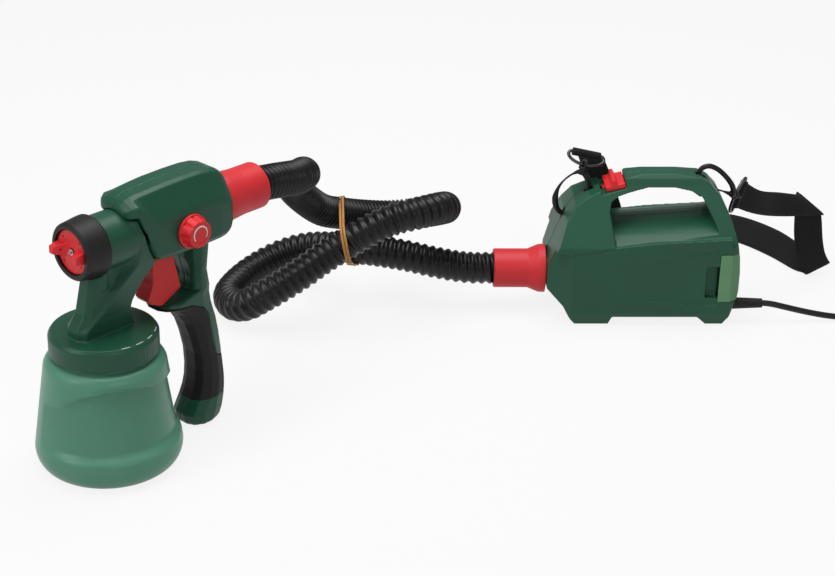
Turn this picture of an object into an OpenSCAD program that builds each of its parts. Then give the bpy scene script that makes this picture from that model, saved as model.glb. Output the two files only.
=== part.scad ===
// Portable turbine paint sprayer: spray gun on its paint jar, air hose and turbine unit.
// Millimetres. Origin: centre of the jar's base, +Z up, +X along the turbine unit.

/* [Jar] */
// Largest radius of the jar, low on its side
jar_r = 65; // [60:0.1:70]
// Height of the widest place above the base
jar_belly_z = 20; // [18:0.1:26]
// Radius of the cone's top, under the shoulder bead
jar_top_r = 54.4; // [53:0.1:56]
// Height of the shoulder bead's middle
jar_bead_z = 99; // [97:0.5:100]
// Radius of the threaded neck
jar_neck_r = 43.5; // [42:0.1:44]
// Wall of the jar
jar_wall = 2; // [1.6:0.1:2.4]
// Depth of the hollow round the jar's front
jar_hollow = 7.4; // [4:0.1:8]
// Gap between the jar's neck and its screw lid
jar_fit = 0.4; // [0.3:0.1:0.6]
// Lift of one turn of the jar's thread
jar_pitch = 4; // [3:0.5:5]

/* [Lid and spray head] */
// Outer radius of the lid
lid_r = 48; // [47:0.1:50]
// Height of the lid's lower edge
lid_z = 110; // [109:0.5:112]
// Height of the lid's flat top
lid_top_z = 130; // [129:0.5:131]
// Thickness of the lid's top
lid_t = 3; // [2.5:0.1:3.5]
// Height of the barrel's axis
barrel_z = 210.5; // [208:0.5:213]
// Radius of the barrel
barrel_r = 24.5; // [24:0.1:25]
// Front end of the barrel
barrel_front = 7.7; // [5:0.1:9]
// Bore of the barrel
barrel_bore = 15; // [13:0.5:16]

/* [Nozzle] */
// Front radius of the union nut
nut_front_r = 25.6; // [25.2:0.1:26.5]
// Rear radius of the union nut
nut_rear_r = 27.6; // [27.2:0.1:29]
// Length of the union nut
nut_l = 24.5; // [24:0.5:27]
// Radius of the air cap's face
cap_r = 19.8; // [19:0.1:20.2]
// Height of the air cap's horns
horn_h = 10; // [8:0.5:11]
// Radius of the paint needle
needle_r = 1.6; // [1.4:0.1:1.8]
// Running clearance of needle, pins and shafts
run_fit = 0.05; // [0.03:0.01:0.08]

/* [Gun body] */
// Turn of the gun about the jar's axis
gun_yaw = 225; // [215:1:235]
// Half width of the gun body
body_hw = 28; // [27:0.1:29]
// Wall of the gun shells
gun_wall = 2.6; // [2.2:0.1:3]
// Half width of the handle
handle_hw = 18; // [17:0.1:19]
// Depth of the soft grip's seat
grip_t = 2.2; // [1.8:0.1:2.4]
// Half width of the trigger
trigger_hw = 9; // [8:0.5:10]
// Radius of the trigger's pin
pin_r = 2; // [1.8:0.1:2.2]
// Radius of the paint volume knob
knob_r = 15.5; // [14:0.5:16]
// Height of the paint volume knob
knob_h = 12; // [11:0.5:13]
// Radius of the knob's spindle
spindle_r = 4; // [3.5:0.1:4.5]

/* [Hose] */
// Radius over the hose's ribs
hose_r = 16.5; // [16:0.1:17]
// Depth of the hose's ribs
rib_depth = 2.1; // [1.6:0.1:2.4]
// Radius of the hose's bore
hose_bore = 13; // [12.6:0.1:13.3]
// Pitch of the ribs on the open length
rib_pitch = 8.3; // [8:0.1:10]
// Pitch of the ribs where the hose is squeezed together, near the gun
rib_pitch_tight = 4.6; // [4.4:0.1:6]
// Radius of the gun's hose collar
gun_collar_r = 21.5; // [21:0.1:22]
// Radius of the turbine unit's hose collar, hose end
unit_collar_r = 20; // [19.5:0.1:21]
// Radius of the turbine unit's hose collar, unit end
unit_collar_flare_r = 25; // [24:0.1:26]

/* [Turbine unit] */
// Place of the unit's middle plane
unit_y = 310; // [308:1:312]
// Half width of the unit
unit_hw = 50; // [49:0.5:51]
// Wall of the unit's shells
unit_wall = 2.8; // [2.4:0.1:3.2]
// Half width of the carrying handle
carry_hw = 19; // [17:0.5:21]
// Height of the motor's axis
motor_z = 52; // [51:0.5:53]
// Radius of the motor's shaft
shaft_r = 3; // [2.5:0.1:3.5]
// Radius of the impeller
impeller_r = 32; // [30:0.5:33]
// Number of impeller blades
impeller_blades = 9; // [7:1:12]
// Travel of the power switch
switch_travel = 5; // [3:0.5:6]
// Radius of the housing screws
screw_r = 1.8; // [1.5:0.1:2]

/* [Strap] */
// Width of the shoulder strap
strap_w = 30; // [28:1:32]
// Thickness of the strap's webbing
strap_t = 1.8; // [1.4:0.1:2]
// Radius of the wire of the strap's rings
ring_wire_r = 1.7; // [1.5:0.1:2]

/* [Mains cord] */
// Radius of the cord
cord_r = 3.1; // [3:0.05:3.2]
// Mean radius of the coil's inner turn
coil_in_r = 26.5; // [26:0.5:28]
// Step from turn to turn of the coil
coil_step = 6.9; // [6.8:0.1:7.2]
// Radius of the plug's pins
plug_pin_r = 2.4; // [2.3:0.05:2.5]
// Length of the plug's pins
plug_pin_l = 19; // [18:0.5:20]
// Distance between the plug's pins
plug_pitch = 19; // [18:0.5:20]

/* [Hidden] */

$fn = 64;
eps = 0.01;
green = "#1f4a38";
jar_green = "#5b8f74";
red = "#c9303a";
black = "#1c1b1a";
steel = "#b8babd";
brass = "#b59a5b";

// ---------- helpers ----------

// points of an arc, from angle a to angle b in n steps
function arc(c, r, a, b, n) =
  [for (i = [0:n]) let (t = a + (b - a) * i / n) c + r * [cos(t), sin(t)]];

function unit2(v) = v / norm(v);

// an outline moved inwards by d; the outline runs anticlockwise
function inset(p, d) =
  [for (i = [0:len(p) - 1])
    let (a = p[(i + len(p) - 1) % len(p)], b = p[i], c = p[(i + 1) % len(p)],
         n1 = unit2([a[1] - b[1], b[0] - a[0]]),
         n2 = unit2([b[1] - c[1], c[0] - b[0]]))
    b + d * (n1 + n2) / (1 + n1 * n2)];

// closed solid through rings of equal count; the rings turn anticlockwise seen from the last one
module loft(rings) {
  n = len(rings[0]);
  m = len(rings);
  pts = [for (r = rings) each r];
  sides = [for (j = [0:m - 2]) for (i = [0:n - 1])
    each [[j * n + i, (j + 1) * n + (i + 1) % n, j * n + (i + 1) % n],
          [j * n + i, (j + 1) * n + i, (j + 1) * n + (i + 1) % n]]];
  low = [for (i = [1:n - 2]) [0, i, i + 1]];
  high = [for (i = [1:n - 2]) [(m - 1) * n, (m - 1) * n + i + 1, (m - 1) * n + i]];
  polyhedron(pts, concat(low, sides, high), convexity = 6);
}

// point at t, 0 to 1, between b and c of a smooth curve through a, b, c and d
function between(a, b, c, d, t) =
  0.5 * (2 * b + t * (c - a) + t * t * (2 * a - 5 * b + 4 * c - d)
    + t * t * t * (3 * b - a - 3 * c + d));

// the smooth curve through p at a place s, counted in points
function along(p, s) =
  let (k = min(floor(s), len(p) - 2), m = len(p) - 1)
  between(p[max(k - 1, 0)], p[k], p[k + 1], p[min(k + 2, m)], s - k);

function sum(v, i = 0, t = 0) = i == len(v) ? t : sum(v, i + 1, t + v[i]);
function unit(v) = v / norm(v);

// running length of a line of points
function running(p, i = 1, r = [0]) =
  i == len(p) ? r : running(p, i + 1, concat(r, [r[i - 1] + norm(p[i] - p[i - 1])]));

// closed tube through points in one plane with the normal n, with a radius for each point
module loop_tube(p, r, n, sides) {
  m = len(p);
  rings = [for (i = [0:m - 1])
    let (h = unit(p[(i + 1) % m] - p[(i + m - 1) % m]), b = cross(h, n))
    [for (k = [0:sides - 1]) p[i] + r[i] * (cos(360 * k / sides) * n + sin(360 * k / sides) * b)]];
  faces = [for (j = [0:m - 1]) for (i = [0:sides - 1])
    let (a = j * sides, b = ((j + 1) % m) * sides, k = (i + 1) % sides)
    each [[a + i, b + k, a + k], [a + i, b + i, b + k]]];
  polyhedron([for (q = rings) each q], faces, convexity = 6);
}

// frame of a thing at p whose x runs along a and whose z runs along r as nearly as may be
module framed(p, a, r) {
  x = unit(a);
  z = unit(r - (r * x) * x);
  y = cross(z, x);
  multmatrix([[x[0], y[0], z[0], p[0]], [x[1], y[1], z[1], p[1]], [x[2], y[2], z[2], p[2]],
    [0, 0, 0, 1]]) children();
}

// place, counted in points, of the length d along a line whose running lengths are r
function place_of(r, d, i = 0) =
  i >= len(r) - 2 || r[i + 1] >= d ? i + (d - r[i]) / (r[i + 1] - r[i]) : place_of(r, d, i + 1);

// side directions along a line, each turned as little as possible from the one before
function sides_of(t, i = 0, s = []) =
  i == len(t) ? s
  : let (g = i == 0 ? (abs(t[0][2]) < 0.9 ? [0, 0, 1] : [1, 0, 0]) : s[i - 1],
         v = unit(g - (g * t[i]) * t[i]))
    sides_of(t, i + 1, concat(s, [v]));

// directions of a line of points
function headings(p) =
  [for (i = [0:len(p) - 1]) unit(p[min(i + 1, len(p) - 1)] - p[max(i - 1, 0)])];

// rings of n points about a line, with a radius for each ring
function tube_rings(p, r, n, first, last) =
  let (h0 = headings(p),
       h = [for (i = [0:len(p) - 1])
         i == 0 && first != undef ? first : i == len(p) - 1 && last != undef ? last : h0[i]],
       s = sides_of(h))
  [for (i = [0:len(p) - 1])
    let (a = s[i], b = cross(h[i], a))
    [for (k = [0:n - 1]) p[i] + r[i] * (cos(360 * k / n) * a + sin(360 * k / n) * b)]];

// least distance between the points of a line that lie more than far apart along it
function least_gap(p, r, far) =
  min([for (i = [0:len(p) - 1]) for (j = [i + 1:1:len(p) - 1])
    r[j] - r[i] > far ? norm(p[i] - p[j]) : 1000]);

module along_x(x0, x1, r, r2 = undef) {
  translate([x0, 0, 0]) rotate([0, 90, 0])
    cylinder(h = x1 - x0, r1 = r, r2 = r2 == undef ? r : r2);
}
module along_y(y0, y1, r, r2 = undef) {
  translate([0, y0, 0]) rotate([-90, 0, 0])
    cylinder(h = y1 - y0, r1 = r, r2 = r2 == undef ? r : r2);
}
// a side outline, given in x and z, made w wide each side of the middle
module side_plate(p, w) {
  translate([0, w, 0]) rotate([90, 0, 0]) linear_extrude(2 * w) polygon(p);
}
// an end outline, given in y and z, from x0 to x1
module end_plate(p, x0, x1) {
  translate([x0, 0, 0]) rotate([90, 0, 90]) linear_extrude(x1 - x0) polygon(p);
}
// the gun's own frame: x forward, y to its left, z up
module gun() { rotate([0, 0, gun_yaw]) children(); }
// the barrel's own frame: x forward along its axis
module barrel() { gun() translate([0, 0, barrel_z]) children(); }
// the turbine unit's own frame: y = 0 on its middle plane
module unit_frame() { translate([0, unit_y, 0]) children(); }
module motor() { translate([0, unit_y, motor_z]) children(); }

// ---------- jar ----------
neck_top_z = lid_top_z - lid_t - 3;
gasket_t = 2.6;
jar_foot_r = 50;
jar_inner = jar_wall + 0.3;

function ease(x) = let (t = min(1, max(0, x))) t * t * (3 - 2 * t);
// depth of the hollow round the jar's front and side, at a turn from the front and a height
function hollow_top(t) =
  lookup(t, [[-62, 70], [-36, 77], [-16, 87], [6, 92], [25, 93.5], [45, 91.5], [61, 88], [90, 84], [125, 72]]);
function hollow_soft(t) = lookup(t, [[-62, 6], [-36, 10], [-16, 8.4], [6, 5], [25, 4.2], [90, 5], [125, 8]]);
function hollow_deep(t) = jar_hollow * pow(max(0, 1 - pow((t - 32) / 94, 2)), 0.8);
function hollow(t, z) = hollow_deep(t) * ease((z - 26.5) / 8.5)
  * ease((hollow_top(t) + hollow_soft(t) / 2 - z) / hollow_soft(t));

cone_z = [26.5, 29, 32, 35, 45, 56, 66, 71, 76, 80, 84, 88, jar_bead_z - 6];
function cone_r(z) = jar_r + (jar_top_r - jar_r) * (z - jar_belly_z) / (jar_bead_z - 6 - jar_belly_z);
jar_out = concat(
  [[jar_foot_r - 6, 2.5], [jar_foot_r - 3, 0]],
  [for (p = arc([0, 0], 1, -90, 0, 6)) [jar_foot_r + (jar_r - jar_foot_r) * p[0], jar_belly_z + jar_belly_z * p[1]]],
  [for (z = cone_z) [cone_r(z), z]],
  [[jar_top_r - 0.5, jar_bead_z - 2], [jar_top_r - 1.6, jar_bead_z + 1.5], [jar_top_r - 3.4, jar_bead_z + 4.3],
   [jar_top_r - 5.9, jar_bead_z + 6.2], [jar_neck_r, jar_bead_z + 7.5], [jar_neck_r, neck_top_z]]);
jar_in = concat(
  [[jar_neck_r - jar_wall, neck_top_z], [jar_neck_r - jar_wall, jar_bead_z + 6],
   [jar_top_r - 7, jar_bead_z + 4], [jar_top_r - 4, jar_bead_z + 0.5]],
  [for (z = [93, 88, 84, 80, 76, 71, 66, 45, 35, 32, 29, 26.5]) [cone_r(z) - jar_inner, z - 1]],
  [[jar_r - jar_inner, jar_belly_z - 1], [jar_r - 4.5, 12.5], [jar_r - 8.5, 8], [jar_foot_r, 5.6], [jar_foot_r - 6, 5]]);

// the hollow follows the turn, 0 at the front and growing to the right
function jar_ring(p, n = 48) =
  [for (i = [0:n - 1])
    let (a = 360 * i / n, t = (a + 270) % 360 - 180,
         r = p[0] - (p[1] > 25 && p[1] < jar_bead_z - 1 ? hollow(t, p[1]) : 0))
    [r * cos(a), r * sin(a), p[1]]];

module jar() {
  color(jar_green, 0.6) loft([for (p = concat(jar_out, jar_in)) jar_ring(p)]);
}

module jar_gasket() {
  color(black) translate([0, 0, neck_top_z + 0.1]) difference() {
    cylinder(h = gasket_t, r = jar_neck_r);
    translate([0, 0, -1]) cylinder(h = gasket_t + 2, r = jar_neck_r - 4);
  }
}

// ---------- spray head: lid, neck and barrel ----------
neck_hw_low = 13;
neck_hw_high = 22;
barrel_back = -36;
air_tube_u = 5;

// one level of the neck: height, front ridge with its half width, end of the lit facet, half width, rear
function neck_ring(z, f, a, fc, w, b, c = 4) =
  [[f, -a, z], [f, a, z], [fc, w, z], [b + c, w, z], [b, w - c, z], [b, c - w, z],
   [b + c, -w, z], [fc, -w, z]];
neck_rings = [
  neck_ring(lid_top_z - 1, 33, 6, 28, 13, -26), neck_ring(138, 33, 6, 28, 13, -24),
  neck_ring(146, 28, 6, 18, 13.5, -24), neck_ring(153, 22, 6, 8, 14.5, -25.5),
  neck_ring(163, 13, 6, 1, 16, -31), neck_ring(172, 2, 7, -8, 18, -37),
  neck_ring(182, -8, 9, -18, 20.5, -43.5, 1.5), neck_ring(185.6, -10.5, 10, -21, 21.5, -45.7, 0.6),
  neck_ring(190, -13.5, 12, -24, 22.5, -40.7, 0.6), neck_ring(198, -15, 15, -26, 23.5, -36.7, 0.6),
  neck_ring(214, -18, 19, -26, 24.6, -31.2, 0.6), neck_ring(228.7, -18.6, 15.5, -22.8, 20.5, -27.2, 0.6)];
// the web in front of the ridge, under the barrel
function web_ring(z, f) = [[f, -6, z], [f, 6, z], [f - 5, 11, z], [-22, 11, z], [-22, -11, z], [f - 5, -11, z]];
web_rings = [web_ring(lid_top_z - 1, 32), web_ring(144, 26), web_ring(160, 22), web_ring(176, 18), web_ring(190, 15)];
// where the head meets the two shells of the body
joint_line = [[-52, 168], [-52, 184], [-46, 185.6], [-41, 190], [-37, 198], [-31.5, 214], [-27.4, 229],
  [6, 229], [6, 168]];
knurl_places = [for (g = [0:1]) for (k = [-2:2]) 331 + 180 * g + 4.4 * k];

module spray_head() {
  color(green) difference() {
    union() {
      difference() {
        gun() {
          loft(neck_rings);
          loft(web_rings);
          translate([air_tube_u, 0, 171]) cylinder(h = 28, r = 12);
        }
        // room for the union nut
        barrel() along_x(nut_x - 0.3, 60, nut_rear_r + 0.3);
      }
      barrel() along_x(barrel_back + 12, barrel_front, barrel_r);
      barrel() along_x(barrel_front - eps, barrel_front + 12, barrel_r - 4);
      rotate_extrude($fn = 96) polygon([[0, lid_top_z - lid_t], [lid_r - 3.4, lid_top_z - lid_t],
        [lid_r - 3.4, lid_z], [lid_r, lid_z], [lid_r, lid_top_z - 3.5],
        [lid_r - 2.5, lid_top_z], [0, lid_top_z]]);
      for (a = knurl_places) rotate([0, 0, a]) translate([lid_r - 0.4, 0, lid_z + 1.5])
        cylinder(h = lid_top_z - lid_z - 6, r = 0.9, $fn = 16);
    }
    // bore for the needle and the air ways
    barrel() along_x(barrel_front - 22, barrel_front + 13, barrel_bore);
    barrel() along_x(-70, 0, needle_r + run_fit);
    barrel() along_x(-70, barrel_front - 30, seal_r + eps);
    // paint way down to the suction tube
    gun() translate([paint_u, 0, lid_top_z - lid_t - 1]) cylinder(h = barrel_z - lid_top_z - 6, r = 3);
    translate([0, 0, lid_top_z - lid_t - 1]) gun() translate([paint_u, 0, 0])
      cylinder(h = tube_seat + 1, r = tube_r + 0.03);
    // vent way from the air side down into the jar
    gun() translate([vent_u, 0, lid_top_z - lid_t - 1]) cylinder(h = 12, r = vent_r + 0.03);
  }
}

paint_u = -8;
vent_u = 14;
tube_r = 4;
vent_r = 2.5;
tube_seat = 14;

module suction_tube() {
  color(black) gun() translate([paint_u, 0, 0]) difference() {
    translate([0, 0, 9]) cylinder(h = lid_top_z - lid_t + tube_seat - 10, r = tube_r);
    translate([0, 0, 8]) cylinder(h = lid_top_z + tube_seat, r = tube_r - 1.2);
    // slanting foot
    translate([0, 0, 9]) rotate([0, 30, 0]) translate([-10, -10, -20]) cube([20, 20, 20]);
  }
}

module vent_tube() {
  color(steel) gun() translate([vent_u, 0, lid_top_z - lid_t - 9]) difference() {
    cylinder(h = 18, r = vent_r);
    translate([0, 0, -1]) cylinder(h = 20, r = vent_r - 1);
  }
}

// rubber flap valve that lets air into the jar and keeps paint out of the air way
module vent_valve() {
  color(black) gun() translate([vent_u, 0, lid_top_z - lid_t - 9 - 3]) difference() {
    cylinder(h = 7, r = vent_r + 2.5);
    translate([0, 0, 3]) cylinder(h = 5, r = vent_r + 0.02);
    translate([-0.3, -4, -1]) cube([0.6, 8, 3]);
  }
}

// ---------- nozzle ----------
cap_x = 25.7;
nut_x = 6.2;
cap_face_t = 2.4;
cap_skirt_r = cap_r + 2;
nozzle_x = cap_x + 3.4;

module union_nut() {
  color(black) barrel() difference() {
    translate([nut_x, 0, 0]) rotate([0, 90, 0]) rotate_extrude($fn = 96)
      polygon([[0, 0], [nut_rear_r - 1.5, 0], [nut_rear_r, 2], [nut_rear_r - 0.3, 7],
        [nut_front_r, nut_l - 2], [nut_front_r - 2, nut_l], [0, nut_l]]);
    along_x(nut_x - 1, barrel_front + 0.3, barrel_r + 0.3);
    along_x(barrel_front, cap_x - 1.6, barrel_r - 1.5);
    along_x(cap_x - 2, cap_x + 0.3, cap_skirt_r + 0.3);
    along_x(cap_x, nut_x + nut_l + 1, cap_r + 0.3);
  }
}

module horn() {
  hull() {
    translate([cap_x + cap_face_t - 0.5, 7.5, -5.5]) cube([0.6, 11.2, 11]);
    translate([cap_x + cap_face_t + horn_h - 3, 13, -3.5]) cube([3, 5.4, 7]);
  }
}

module air_cap() {
  color(red) barrel() difference() {
    union() {
      along_x(cap_x - 1.4, cap_x, cap_skirt_r);
      along_x(cap_x - 1.5, cap_x + cap_face_t, cap_r);
      horn();
      mirror([0, 1, 0]) horn();
    }
    along_x(cap_x - 2, cap_x + 10, 3.4);
    for (a = [45:90:315]) rotate([a, 0, 0]) translate([0, 15.5, 0]) along_x(cap_x - 2, cap_x + 5, 0.9);
    for (s = [-1, 1]) translate([cap_x + cap_face_t + 6, s * 14, 0]) rotate([0, 0, s * 60])
      along_x(-7, 4, 0.9);
  }
}

seal_r = 6;

module fluid_nozzle() {
  color(brass) barrel() difference() {
    union() {
      along_x(barrel_front - 19, barrel_front - 10, barrel_bore - 0.02);
      along_x(barrel_front - 10 - eps, cap_x - 10, 7);
      along_x(cap_x - 10 - eps, cap_x - 3, 7, 4.5);
      along_x(cap_x - 3 - eps, nozzle_x, 3, 2.6);
    }
    along_x(-16, nozzle_x + 1, needle_r + run_fit);
    for (a = [0:60:300]) rotate([a, 0, 0]) translate([0, 11, 0]) along_x(-16, 0, 1.8);
  }
}

trigger_pivot = [-58, 226];
collar_u = trigger_pivot[0] - 4.75;
needle_back = -100;

module needle() {
  color(steel) barrel() {
    along_x(needle_back, nozzle_x - 1, needle_r);
    along_x(nozzle_x - 1 - eps, nozzle_x + 3, needle_r, 0.5);
    along_x(collar_u - 4, collar_u, 5.5);
  }
}

module needle_seal() {
  color(black) barrel() difference() {
    along_x(-36, barrel_front - 30.05, seal_r - 0.02);
    along_x(-37, 0, needle_r + run_fit);
  }
}

spring_turns = 6;
spring_r = 4;
spring_wire = 0.7;
spring_back = -90.6;
spring_seat = -93.2;

// visible only with the shells apart: one wire wound about the needle
module needle_spring() {
  from = collar_u - 4 - spring_wire - 0.15;
  path = [for (i = [0:spring_turns * 8]) let (a = 45 * i, t = i / (spring_turns * 8))
    [from + (spring_back - from) * t, spring_r * cos(a), spring_r * sin(a)]];
  color(steel) barrel() loft(tube_rings(path, [for (p = path) spring_wire], 6, undef, undef));
}

// ---------- gun body ----------

// one ring of the gun body at u: underside, top, half width
function body_ring(u, zb, zt, w) =
  let (h = zt - zb, c = min(0.42 * h, 27), f = min(0.5 * w, 14), e = min(2, 0.1 * h))
  let (side = [[w * 0.62, zb], [w * 0.9, zb + min(1.6, 0.1 * h)],
    [w, zb + min(6, 0.2 * h)], [w, zt - c - e], [w - 1, zt - c + e],
    [f + 2.5, zt - 1.1 * e], [f - 2, zt]])
  concat([for (p = side) [u, p[0], p[1]]],
    [for (i = [len(side) - 1:-1:0]) [u, -side[i][0], side[i][1]]]);

function body_rings(d) = concat([
  body_ring(-131.5 + d, 199 + d, 231 - d, body_hw - 5 - d),
  body_ring(-130 + 0.9 * d, 192.5 + d, 238 - d, body_hw - 3 - d),
  body_ring(-127 + 0.7 * d, 188 + d, 243 - d, body_hw - 1.5 - d),
  body_ring(-122 + 0.3 * d, 185.6 + d, 246.8 - d, body_hw - 0.6 - d),
  body_ring(-114, 184.6 + d, 249.4 - d, body_hw - d),
  body_ring(-102, 184.4 + d, 250.8 - d, body_hw - d),
  body_ring(-84, 184.4 + d, 251 - d, body_hw - d),
  body_ring(-60, 184.8 + d, 250.4 - d, body_hw - d),
  body_ring(-46 - 0.3 * d, 185.6 + d, 249.4 - d, body_hw - 0.4 - d),
  body_ring(-41 - 0.6 * d, 190 + d, 249 - d, body_hw - 0.8 - d),
  body_ring(-37 - 0.6 * d, 198 + d, 248.7 - d, body_hw - 1.2 - d),
  body_ring(-31.5 - 0.6 * d, 214 + d, 248.3 - d, body_hw - 2 - d),
  body_ring(-26.5 - 0.6 * d, 229.4 + d, 247.2 - d, body_hw - 3.4 - d)
  ], d > 1 ? [] : [
  body_ring(-21 - 0.7 * d, 229.2 + d, 244.4 - d, body_hw - 6.5 - d),
  body_ring(-18 - 0.9 * d, 230 + d, 241.2 - d, body_hw - 10.5 - d),
  body_ring(-16.4 - d, 231.5 + d, 237.8 - d, body_hw - 15 - d)]);

// one level of the handle: front, rear, half width, height
function grip_ring(f, b, w, z, d) =
  let (fr = f - d, bk = b + d, hw = w - d, l = fr - bk, k = min(0.34 * l, 13))
  [[fr, hw * 0.34, z], [fr - 0.3 * k, hw * 0.74, z], [fr - k, hw, z],
   [bk + k * 1.2, hw, z], [bk + 0.35 * k, hw * 0.8, z], [bk, hw * 0.42, z],
   [bk, -hw * 0.42, z], [bk + 0.35 * k, -hw * 0.8, z], [bk + k * 1.2, -hw, z],
   [fr - k, -hw, z], [fr - 0.3 * k, -hw * 0.74, z], [fr, -hw * 0.34, z]];

// height, front and rear of the handle, and its half width less handle_hw
handle_levels = [
  [3, -84, -118, 0], [6, -82.5, -121, 0.8], [13, -82, -124, 1], [25, -89, -126.6, 1],
  [34, -93.5, -127.2, 0.6], [43, -96, -127.2, 0.3], [55, -97, -126, 0], [72, -96, -124, 0],
  [90, -91.5, -122, 0], [105, -86, -119.6, 0], [116, -79, -116.8, 0], [123, -71, -115, 0],
  [128.5, -55, -114, 0.4], [133, -61, -112.9, 0.8], [140, -89.5, -111.4, 1.2],
  [157, -89.5, -107.4, 2.4], [163.5, -88.5, -107, 4], [186, -86, -109, 6]];

module handle_form(d, z0, z1) {
  loft([for (l = handle_levels) if (l[0] >= z0 && l[0] <= z1)
    grip_ring(l[1], l[2], handle_hw + l[3], l[0], d)]);
}

grip_low = 43;
grip_high = 124;
pad_low = 133;
pad_high = 166;

// where the soft grip lies: the handle's front and sides, its lower edge slanting forward
module grip_zone(d) {
  side_plate([[-50, 33 - d], [-88, 26 - d], [-150, 31 - d], [-150, 66 + d], [-117 - d, 66 + d], [-112 - d, 70],
    [-108 - d, 86], [-106.5 - d, 100], [-105 - d, 113], [-99 - d, 121 + d], [-86, 127.5 + d], [-50, 131 + d]], 40);
}
module pad_zone(d) {
  side_plate([[-130, pad_low - d], [-103 + d, pad_low - d], [-99 + d, 145],
    [-98 + d, pad_high + d], [-130, pad_high + d]], handle_hw * 0.66 + d);
}

module gun_form() {
  difference() {
    union() {
      loft(body_rings(0));
      handle_form(0, 0, 200);
    }
    difference() {
      union() { grip_zone(0.1); pad_zone(0.1); }
      handle_form(grip_t + 0.1, 0, 200);
      loft(body_rings(0));
    }
  }
}

slot_hw = trigger_hw + 0.6;
knob_u = -79;
knob_z = 205.5;
collar_back = -180;
collar_front = -131.8;
screw_places = [[-92, 238], [-116, 236], [-117, 192], [-99, 150], [-110, 80], [-100, 14]];

// everything that is cut out of both gun shells
module gun_hollow() {
  difference() {
    loft(body_rings(gun_wall));
    // web that carries the trigger's pin, and the seats of the screws
    translate([trigger_pivot[0], 0, trigger_pivot[1]]) for (s = [-1, 1])
      along_y(min(s * slot_hw, s * 30), max(s * slot_hw, s * 30), pin_r + 3);
    for (p = [screw_places[0], screw_places[1], screw_places[2]]) translate([p[0], 0, p[1]])
      along_y(-30, 30, 4.2);
    // seat of the spring and bearing of the needle's tail
    translate([spring_seat - 6, -30, barrel_z - 10]) cube([6, 60, 20]);
    // seat of the air inlet
      translate([-127, 0, barrel_z]) along_x(0, 12, 30);
  }
  // trigger slot and recess
  side_plate([[-92.5, 138], [-93, 150], [-86, 176], [-86, 190], [-74, 236], [-45, 236],
    [-44, 190], [-40, 170], [-50, 140], [-52, 130]], slot_hw);
  translate([trigger_pivot[0], 0, trigger_pivot[1]]) along_y(-slot_hw - 7, slot_hw + 7, pin_r);
  // needle and its tail's bearing
  translate([0, 0, barrel_z]) along_x(-110, -20, needle_r + run_fit);
  translate([0, 0, barrel_z]) along_x(-60, -20, seal_r + 0.4);
  // air inlet
  translate([0, 0, barrel_z]) along_x(-140, -112, inlet_r + 0.02);
  translate([0, 0, barrel_z]) along_x(-124, -118, inlet_r + 3.05);
  // seats of the screws, entered from the right
  for (p = screw_places) translate([p[0], 0, p[1]]) {
    along_y(-14, 10, screw_r + 0.02);
    along_y(-40, -12, screw_r + 1.9);
  }
  // spindle of the volume knob
  translate([knob_u, 0, knob_z]) along_y(8, 40, spindle_r + run_fit);
  // room for the handle's air and weight saving
  handle_form(gun_wall + grip_t + 0.6, 13, 118);
}

module half(left) {
  intersection() {
    children();
    translate([-220, left ? 0 : -60, -5]) cube([240, 60, 300]);
  }
}

module gun_shell_left() {
  color(green) gun() difference() {
    half(true) gun_form();
    gun_hollow();
    spray_head_room();
  }
}
module gun_shell_right() {
  color(green) gun() difference() {
    half(false) gun_form();
    gun_hollow();
    spray_head_room();
  }
}

// room for the barrel and the neck where they enter the body
module spray_head_room() {
  translate([0, 0, barrel_z]) along_x(barrel_back, 10, barrel_r + 0.3);
  side_plate([for (p = joint_line) [p[0] - 0.15, p[1]]], 40);
}

module handle_grip() {
  color(black) gun() difference() {
    intersection() {
      handle_form(0, 0, 200);
      grip_zone(0);
    }
    handle_form(grip_t, 0, 200);
  }
}

module thumb_pad() {
  color(black) gun() difference() {
    intersection() {
      handle_form(0, 0, 200);
      pad_zone(0);
    }
    handle_form(grip_t, 0, 200);
    loft(body_rings(-0.1));
  }
}

// trigger: front edge, toe and tail, with a fork that straddles the needle
trigger_side = [[-50, 232], [-65, 232], [-65, 221], [-59, 216], [-62.2, 212.5], [-62.4, 210.5],
  [-62.2, 208.5], [-59, 205], [-66, 198], [-71, 190], [-74, 175], [-81, 144.5],
  [-60, 133.5], [-56, 134], [-46, 139], [-43.5, 143], [-47.5, 152], [-50, 160], [-49, 168],
  [-51, 180], [-50, 200], [-50, 216]];

module trigger() {
  color(red) gun() difference() {
    side_plate(trigger_side, trigger_hw);
    translate([trigger_pivot[0], 0, trigger_pivot[1]])
      along_y(-trigger_hw - 1, trigger_hw + 1, pin_r + run_fit);
    // fork
    translate([-80, -5, 200]) cube([40, 10, 40]);
    // fingers' hollow in the front face
    translate([-39.5, 0, 163]) along_y(-trigger_hw + 2, trigger_hw - 2, 11.5);
  }
}

module trigger_pin() {
  color(steel) gun() translate([trigger_pivot[0], 0, trigger_pivot[1]])
    along_y(-slot_hw - 6.5, slot_hw + 6.5, pin_r - 0.02);
}

module volume_knob() {
  color(red) gun() translate([knob_u, body_hw + 0.4, knob_z]) difference() {
    union() {
      along_y(0, 2.5, knob_r);
      along_y(2.5 - eps, knob_h, knob_r - 1.4, knob_r - 3.4);
    }
    for (a = [0:45:315]) rotate([0, a, 0]) translate([0, 0, knob_r + 0.6])
      along_y(2.5, knob_h + 1, 3.4, 4.6);
    along_y(-1, 7, spindle_r - 1);
    // ring on the face for the flow scale
    translate([0, knob_h - 0.5, 0]) difference() {
      along_y(0, 1, knob_r - 7.4);
      along_y(-1, 2, knob_r - 8.8);
    }
  }
}

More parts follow.
